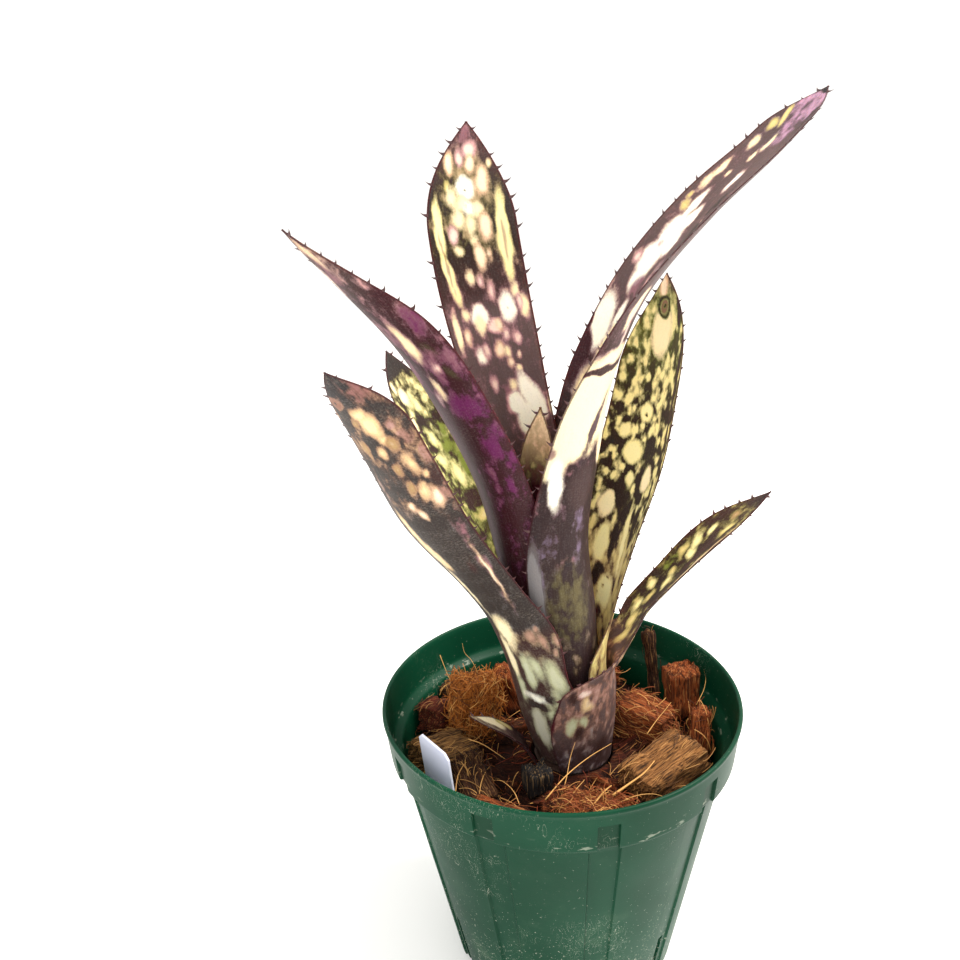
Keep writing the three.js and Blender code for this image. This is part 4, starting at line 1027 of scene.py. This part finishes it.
# A chip that stands out: its place, its size along the fibres, across and up, its yaw and pitch in degrees,
# its colour, and how far its fibres are felted.
CHIPS = [
    ((-37, 18, 107), (28, 13, 20), 20, -82, 'orange', 1.0),
    ((-54, 22, 101), (15, 13, 12), 60, 15, 'red', 0.15),
    ((-22, 36, 103), (20, 12, 11), 0, -110, 'rust', 0.1),
    ((-50, -8, 101), (24, 19, 13), 40, 12, 'tan', 0.15),
    ((-38, -24, 99), (24, 13, 12), 110, -10, 'dark', 0.35),
    ((-27, -43, 98), (24, 8, 9), -25, 5, 'rust', 0.15),
    ((-12, -27, 102), (12, 8, 9), 20, -90, 'charcoal', 0.0),
    ((38, 8, 103), (21, 15, 18), -30, 10, 'rust', 0.4),
    ((58, 22, 109), (24, 13, 15), 15, -94, 'rust', 0.02),
    ((46, 33, 114), (42, 3, 4.5), 30, -98, 'dark', 0.02),
    ((60, -3, 104), (18, 8, 9), 70, -76, 'rust', 0.25),
    ((40, -25, 101), (32, 20, 17), 35, -8, 'olive', 0.12),
    ((9, -46, 99), (26, 16, 12), -10, 6, 'rust', 0.9), ((22, 48, 101), (18, 15, 14), 15, 10, 'rust', 0.2),
    ((-5, 55, 99), (20, 14, 12), -20, -8, 'tan', 0.2), ((-43, 42, 99), (16, 14, 13), 45, 0, 'dark', 0.3),
]
CHIP_CELL = 1.2
CHIP_FIBRES = (400000.0, 9.5)
BED_FIBRES = (130000.0, 9)

# The ways a small strand bends: the middle and the end of its bow, on a length of 1
STRAND_BENDS = [
    ((0.1, 0.1, 0.22), (0.5, 0, 0.05)), ((0, -0.2, 0.12), (0.4, 0.15, 0.2)),
    ((0.05, 0.15, 0.3), (0.45, -0.2, -0.05)),
]


def keep_clear(points):
    """Moves points that come too near the pot's wall, the label or the plant's foot."""
    x, y, z = points.T
    out = heading_vector(LABEL_HEADING)
    reach = x * out[0] + y * out[1]
    label_reach = LABEL_RADIUS - (LABEL_TOP - z) * math.tan(math.radians(LABEL_LEAN))
    beside_label = (np.abs(x * out[1] - y * out[0]) < LABEL_HALF_WIDTH) & (z > LABEL_FOOT_HEIGHT)
    over = np.where(beside_label, np.maximum(reach - label_reach + LABEL_ROOM, 0), 0)
    x, y = x - out[0] * over, y - out[1] * over
    wall = np.minimum(inside_radius(z), LEDGE_RADIUS) - WALL_ROOM
    share = np.minimum(1, wall / np.maximum(np.hypot(x, y), 1))
    x, y = x * share, y * share
    axis = tube_axis(z)
    share = np.maximum(1, (tube_radius(z, 0) + TUBE_ROOM) / np.maximum(np.hypot(x - axis, y), 1))
    return np.stack([axis + (x - axis) * share, y * share, z], -1)


def ripple(points, scale, seed):
    """Smooth noise from -1 to 1 at points in mm."""
    return np.array([noise.noise(Vector(p)) for p in points * np.array(scale) + seed])


def block(cuts):
    """The lattice on the surface of a block that runs from -1 to 1, and its faces."""
    numbers = {}
    faces = []
    for axis in range(3):
        u, v = (axis + 1) % 3, (axis + 2) % 3
        for end in (0, cuts[axis]):
            for i in range(cuts[u]):
                for j in range(cuts[v]):
                    corners = []
                    for a, b in ((0, 0), (1, 0), (1, 1), (0, 1)):
                        cell = [0, 0, 0]
                        cell[axis], cell[u], cell[v] = end, i + a, j + b
                        corners.append(numbers.setdefault(tuple(cell), len(numbers)))
                    faces.append(corners if end else corners[::-1])
    return np.array(list(numbers)) / np.array(cuts) * 2 - 1, faces


def build_chips(skin):
    parts, faces = [], []
    count = 0
    for order, (place, size, yaw, pitch, tone, felt) in enumerate(CHIPS):
        cube, quads = block([max(5, round(s / CHIP_CELL)) for s in size])
        rounded = np.abs(cube).max(1) / (np.abs(cube) ** 16).sum(1) ** (1 / 16)
        local = cube * rounded[:, None] * np.array(size) / 2
        outward = unit(np.sign(cube) * np.abs(cube) ** 9)
        seed = order * 17.3
        ridges = ripple(local, (0.04, 0.75, 0.75), seed) * (1.0 - felt * 0.3)
        lumps = ripple(local, (0.1, 0.12, 0.12), seed + 5) * 1.5 + ripple(local, 0.5, seed + 9) * felt * 1.2
        local = local + outward * (ridges + lumps)[:, None]
        ends = np.sign(cube[:, 0]) * np.abs(cube[:, 0]) ** 6
        local[:, 0] += ends * ripple(local, (0, 0.5, 0.5), seed + 3) * 3
        turn = np.array(Euler((0, math.radians(pitch), math.radians(yaw))).to_matrix())
        points = keep_clear(local @ turn.T + np.array(place))
        grain = np.broadcast_to(turn[:, 0], cube.shape)
        tones = all_over(HUSK_TONES[tone], len(cube))
        parts.append((points, local + seed, grain, tones, np.full(len(cube), felt)))
        faces += [[count + corner for corner in quad] for quad in quads]
        count += len(cube)
    points, fibres, grains, tones, felts = (np.concatenate(group) for group in zip(*parts))
    piece = mesh_object("husk_chips", points * MM, faces, skin)
    return store_husk(piece, fibres, grains, tones, felts)


def store_husk(piece, fibres, grains, tones, felts):
    """Keeps what the husk's finish and its fibres read: a place, the grain, a tone and how felted it is."""
    store(piece, "fibre", "FLOAT_VECTOR", fibres)
    store(piece, "grain", "FLOAT_VECTOR", grains)
    store(piece, "husk", "FLOAT_COLOR", tones)
    store(piece, "felt", "FLOAT", felts)
    return piece


def bed_level(spots):
    flat = np.column_stack([spots, np.zeros(len(spots))])
    level = BED_MIDDLE + ripple(flat, 0.08, 3.1) * 4 + ripple(flat, 0.22, 8.4) * 3
    near_foot = np.clip(1 - (np.hypot(spots[:, 0] - TUBE_FOOT_X, spots[:, 1]) - 18) / 7, 0, 1)
    return np.minimum(level + near_foot * 5, BED_TOP)


def build_bed(skin):
    """The dark fine mix under the chips: a closed filling with a hole for the plant's foot."""
    ring = heading_vector(np.linspace(0, 360, BED_SIDES, endpoint=False))[:, :2]
    hole = ((12.9, BED_HOLE_FLOOR), (17.0, 89.5))
    plan = [(ring * radius + (tube_axis(z), 0), z) for radius, z in hole]
    for t in np.linspace(0, 1, 34):
        spots = (ring * BED_HOLE_RADIUS + (TUBE_FOOT_X, 0)) * (1 - t) + ring * BED_RADIUS * t
        plan.append((spots, bed_level(spots)))
    plan += [(ring * (inside_radius(z) - 1), z) for z in (88, 70, 50, 30, 12, BED_UNDERSIDE)]
    rings = [np.column_stack([spots, np.broadcast_to(z, len(ring))]) for spots, z in plan]
    hubs = [(TUBE_FOOT_X + 1.4, 0, BED_HOLE_FLOOR), (0, 0, BED_UNDERSIDE)]
    points, faces = closed_shell(rings, hubs, inward=True)
    piece = mesh_object("husk_bed", points * MM, faces, skin)
    x, y, z = points.T
    free = [np.hypot(x - TUBE_FOOT_X, y) - 18, 64 - np.hypot(x, y)]
    free += [np.hypot(x - at[0], y - at[1]) - room for at, room in ((BASAL_FOOT, 11), (LABEL_FOOT, 8))]
    store(piece, "open", "FLOAT", np.clip((np.min(free, axis=0) - 5) / 2, 0, 1) * (z > LITTER_FLOOR))
    grains = unit(np.stack([np.sin(x * 0.3), np.cos(y * 0.3), z * 0], -1) + 0.01)
    store_husk(piece, points, grains, all_over("7a2e12", len(points)), np.where(z > LITTER_FLOOR, 0.4, 0))
    hang = Matrix.Translation((0, -LABEL_RADIUS, LABEL_TOP)) @ turned(LABEL_LEAN, "X")
    down = Matrix.Translation((0, 0, -LABEL_SLOT_DEPTH))
    return cut_away(piece, LABEL_SLOT, [turned(LABEL_HEADING, "Z") @ hang @ down])


def litter_tree():
    """Small chips strewn over the open parts of the bed."""
    tree = Tree("husk_litter", Spacing="Float", Seed="Int", Skin="Material")
    bed, seed, spot = tree.input("Geometry"), tree.input("Seed"), tree.shape("InputPosition")
    spread = tree.shape("DistributePointsOnFaces", {
        "Mesh": bed, "Distance Min": tree.input("Spacing"), "Density Max": 60000.0,
        "Density Factor": tree.named("open", "FLOAT"), "Seed": seed,
    }, distribute_method="POISSON")
    cuts = {"Vertices X": 9, "Vertices Y": 6, "Vertices Z": 5}
    chip = tree.shape("MeshCube", {"Size": (1, 0.62, 0.48)} | cuts)
    chip = tree.kept(chip, "fibre", "FLOAT_VECTOR", tree.vector("SCALE", spot, 12.0), "POINT")
    tilt = tree.random((-0.5, -0.5, 0), (0.5, 0.5, 6.28), seed, "FLOAT_VECTOR")
    tilt = tree.add("FunctionNodeEulerToRotation", None, {0: tilt})
    size = tree.random(0.0065, 0.0125, seed)
    chips = tree.instances(spread, chip, tilt, size)
    turn = {"Vector": (1, 0, 0), "Rotation": tree.shape("InputInstanceRotation")}
    chips = tree.kept(chips, "grain", "FLOAT_VECTOR", tree.add("FunctionNodeRotateVector", None, turn))
    tone = tree.mix(HUSK_TONES["red"], "b4561c", tree.random(0.0, 1.0, 5))
    chips = tree.kept(chips, "husk", "FLOAT_COLOR", tone)
    chips = tree.realized(tree.kept(chips, "felt", "FLOAT", 0.2))
    rough = tree.vector("SUBTRACT", tree.noise(spot, 260.0, 2.0, output="Color"), (0.5, 0.5, 0.5))
    chips = tree.shape("SetPosition", {"Geometry": chips, "Offset": tree.vector("SCALE", rough, 0.0042)})
    return tree.done(tree.joined(tree.covered(chips, "Skin"), bed))


def strand_tree():
    """Loose fibres that lie along the grain of what they are on, and every way on felt."""
    tree = Tree("husk_strands", Count="Float", Length="Float", Seed="Int", Strand="Material")
    base, seed, felt = tree.input("Geometry"), tree.input("Seed"), tree.named("felt", "FLOAT")
    density = tree.input("Count") * felt
    spread = tree.shape("DistributePointsOnFaces", {"Mesh": base, "Density": density, "Seed": seed})
    wild = tree.random((-1, -1, -1), (1, 1, 1), seed, "FLOAT_VECTOR")
    wild = tree.vector("SCALE", wild, felt * 1.3 + 0.25)
    aim = tree.vector("ADD", tree.named("grain", "FLOAT_VECTOR"), wild)
    turn = tree.aimed("X", aim, "Z", spread.output("Normal"))
    section = tree.shape("CurvePrimitiveCircle", {"Resolution": 3, "Radius": 0.017})
    bends = []
    for middle, end in STRAND_BENDS:
        bow = {"Resolution": 6, "Start": (-0.5, 0, -0.04), "Middle": middle, "End": end}
        bow = tree.shape("CurveQuadraticBezier", bow)
        tube = tree.shape("CurveToMesh", {"Curve": bow, "Profile Curve": section, "Fill Caps": True})
        bends.append(tree.shape("GeometryToInstance", {0: tube}))
    pick = {"Pick Instance": True, "Instance Index": tree.random(0, len(STRAND_BENDS) - 1, seed, "INT")}
    size = tree.input("Length") * tree.random(0.35, 1.25, seed)
    strands = tree.instances(spread, tree.joined(*bends), turn, size, pick)
    strands = tree.kept(strands, "paleness", "FLOAT", tree.random(0.0, 1.0, 9))
    return tree.done(tree.covered(tree.realized(strands), "Strand"))


# Long loose fibres: the points that each passes through, and its half thickness
LOOSE_FIBRES = [
    ([(-51.7, 34.9, 125), (-48.5, 30.5, 117), (-45.4, 25.5, 112), (-43, 21, 108)], 0.16),
    ([(-39.6, -9.4, 110.5), (-34, -11, 109), (-28, -13, 105.5), (-24.5, -14, 103)], 0.24),
    ([(-10, -41.5, 104), (-1, -33, 108), (9, -26, 111), (19, -20.5, 113)], 0.3),
    ([(-4, -40, 103), (-1, -34, 107), (1.5, -27, 112), (4, -22.5, 116)], 0.2),
    ([(36, -8.5, 108), (41, -3, 110.5), (46, 2, 112.5), (49, 5, 114)], 0.2),
    ([(22.4, -43.4, 104.5), (27, -43.6, 106), (32, -43.6, 106), (36.5, -43.2, 104)], 0.22),
    ([(16.3, -41.5, 104.5), (23, -38, 106.5), (30, -34, 108.5), (35, -29.5, 110.5)], 0.55),
    ([(4.5, -50, 102), (9, -46, 105.5), (13, -43, 108), (16, -40.5, 108.5)], 0.5),
    ([(-8, -52, 100), (-3, -47, 104.5), (2, -41, 107.5), (6, -37, 109)], 0.26),
    ([(-45.2, -34, 103), (-44, -27, 106), (-41, -20, 106.5), (-38, -15, 104)], 0.24),
    ([(-36, -38, 101), (-35, -31, 104), (-33, -24, 104.5), (-31, -17, 102)], 0.24),
    ([(-20, -40, 101), (-22, -35, 103.5), (-26, -30, 104.5), (-30, -27, 103)], 0.2),
    ([(60, 5, 112), (64, 9, 116.5), (65.6, 12, 121), (65.6, 14, 124)], 0.16),
    ([(-34, 24, 120), (-37, 27, 126), (-40, 29, 129), (-41, 31, 133)], 0.14),
]


def build_loose_fibres(strand, sides=5, steps=14):
    points, faces = [], []
    for path, thickness in LOOSE_FIBRES:
        line = smooth(path, np.linspace(0, len(path) - 1, steps))
        along = unit(np.gradient(line, axis=0))
        side = unit(np.cross(along, (0, 0, 1.0)))
        up = np.cross(side, along)
        start = len(points)
        taper = thickness * np.linspace(1, 0.35, steps)
        for k in range(steps):
            for angle in np.arange(sides) * 2 * math.pi / sides:
                points.append(line[k] + (side[k] * math.cos(angle) + up[k] * math.sin(angle)) * taper[k])
        faces += ring_faces(steps, sides, start)
        faces += [range(start + sides - 1, start - 1, -1), range(len(points) - sides, len(points))]
    piece = mesh_object("husk_loose_fibres", keep_clear(np.array(points)) * MM, faces, strand)
    store(piece, "paleness", "FLOAT", np.ones(len(points)))
    store(piece, "husk", "FLOAT_COLOR", all_over(HUSK_TONES["tan"], len(points)))
    return piece


def husk_finish():
    finish = Finish("husk")
    place, husk = finish.attribute("fibre", "Vector"), finish.attribute("husk", "Color")
    strands = finish.noise(place, (0.09, 1.7, 1.7), 4.0, 0.65, finish.attribute("felt") * 1.6)
    bundles = finish.noise(place, (0.05, 0.45, 0.45), 2.0)
    # Painted shade: the husk gets darker towards the bottom, in the low gaps between the chips and under them
    low_shade = (finish.height() - bundles * 0.004).step(0.098, 0.0925)
    tone = finish.layered(
        husk, ("120804", strands.step(0.54, 0.36) * 0.9), ("160b06", bundles.step(0.5, 0.32) * 0.6),
        # The lighter streaks are part paler fibres and part painted highlight on the fibres
        (finish.mix(husk, "ffc880", 0.3), strands.step(0.54, 0.66) * 0.7), ("0e0704", low_shade * 0.85),
    )
    normal = finish.bump(strands + bundles * 0.7, 0.0011, 1.0)
    return finish.done(Base_Color=tone, Roughness=0.85, Normal=normal, Specular_IOR_Level=0.2)


def strand_finish():
    finish = Finish("husk_strand")
    paleness = finish.attribute("paleness")
    darker, paler = paleness.step(0.4, 0.0) * 0.8, paleness.step(0.55, 1.0) * 0.85
    tone = finish.layered(finish.attribute("husk", "Color"), ("1c0d06", darker), ("e0a860", paler))
    return finish.done(Base_Color=tone, Roughness=0.6, Specular_IOR_Level=0.3)


def build_mix():
    skin, strand = husk_finish(), strand_finish()
    chips = build_chips(skin)
    bed = grow(build_bed(skin), litter_tree(), Spacing=LITTER_SPACING * MM, Seed=4, Skin=skin)
    loose = [build_loose_fibres(strand)]
    growth = strand_tree()
    fibres = ((chips, "husk_chip_fibres", CHIP_FIBRES), (bed, "husk_bed_fibres", BED_FIBRES))
    for seed, (base, name, (count, length)) in enumerate(fibres, 3):
        copy = in_scene(name, base.data.copy())
        loose.append(grow(copy, growth, Count=count, Length=length * MM, Seed=seed, Strand=strand))
    for piece in loose:
        spots = np.empty(len(piece.data.vertices) * 3, np.float32)
        piece.data.vertices.foreach_get("co", spots)
        clear = keep_clear(spots.reshape(-1, 3) / MM) * MM
        piece.data.vertices.foreach_set("co", clear.ravel())
    for piece in (chips, bed, *loose):
        declare(piece, "potting_mix")


# Pieces that stay as they are in the CAD, with a finish of their own
def dress(node, material):
    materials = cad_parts[node].data.materials
    materials.clear()
    materials.append(material)


def label_finish():
    finish = Finish("label_white_plastic")
    # The bluish tint is painted shade: the cool cast of sky light on a label in shade
    tone = finish.mix("dfe1f6", "d6daf4", finish.noise(finish.where(), 60.0))
    glow = dict(Subsurface_Weight=0.6, Subsurface_Radius=(1, 1, 1), Subsurface_Scale=0.002)
    return finish.done(Base_Color=tone, Roughness=0.35, **glow)


def stem_finish():
    finish = Finish("stem_flesh")
    tone = finish.mix("4a342a", "1a0c06", finish.noise(finish.where(), 90.0, 4.0).step(0.4, 0.8))
    return finish.done(Base_Color=tone, Roughness=0.7)


place_camera()
light_studio()
lay_floor()
build_pot()
build_leaves()
build_mix()
dress("label", label_finish())
dress("stem", stem_finish())
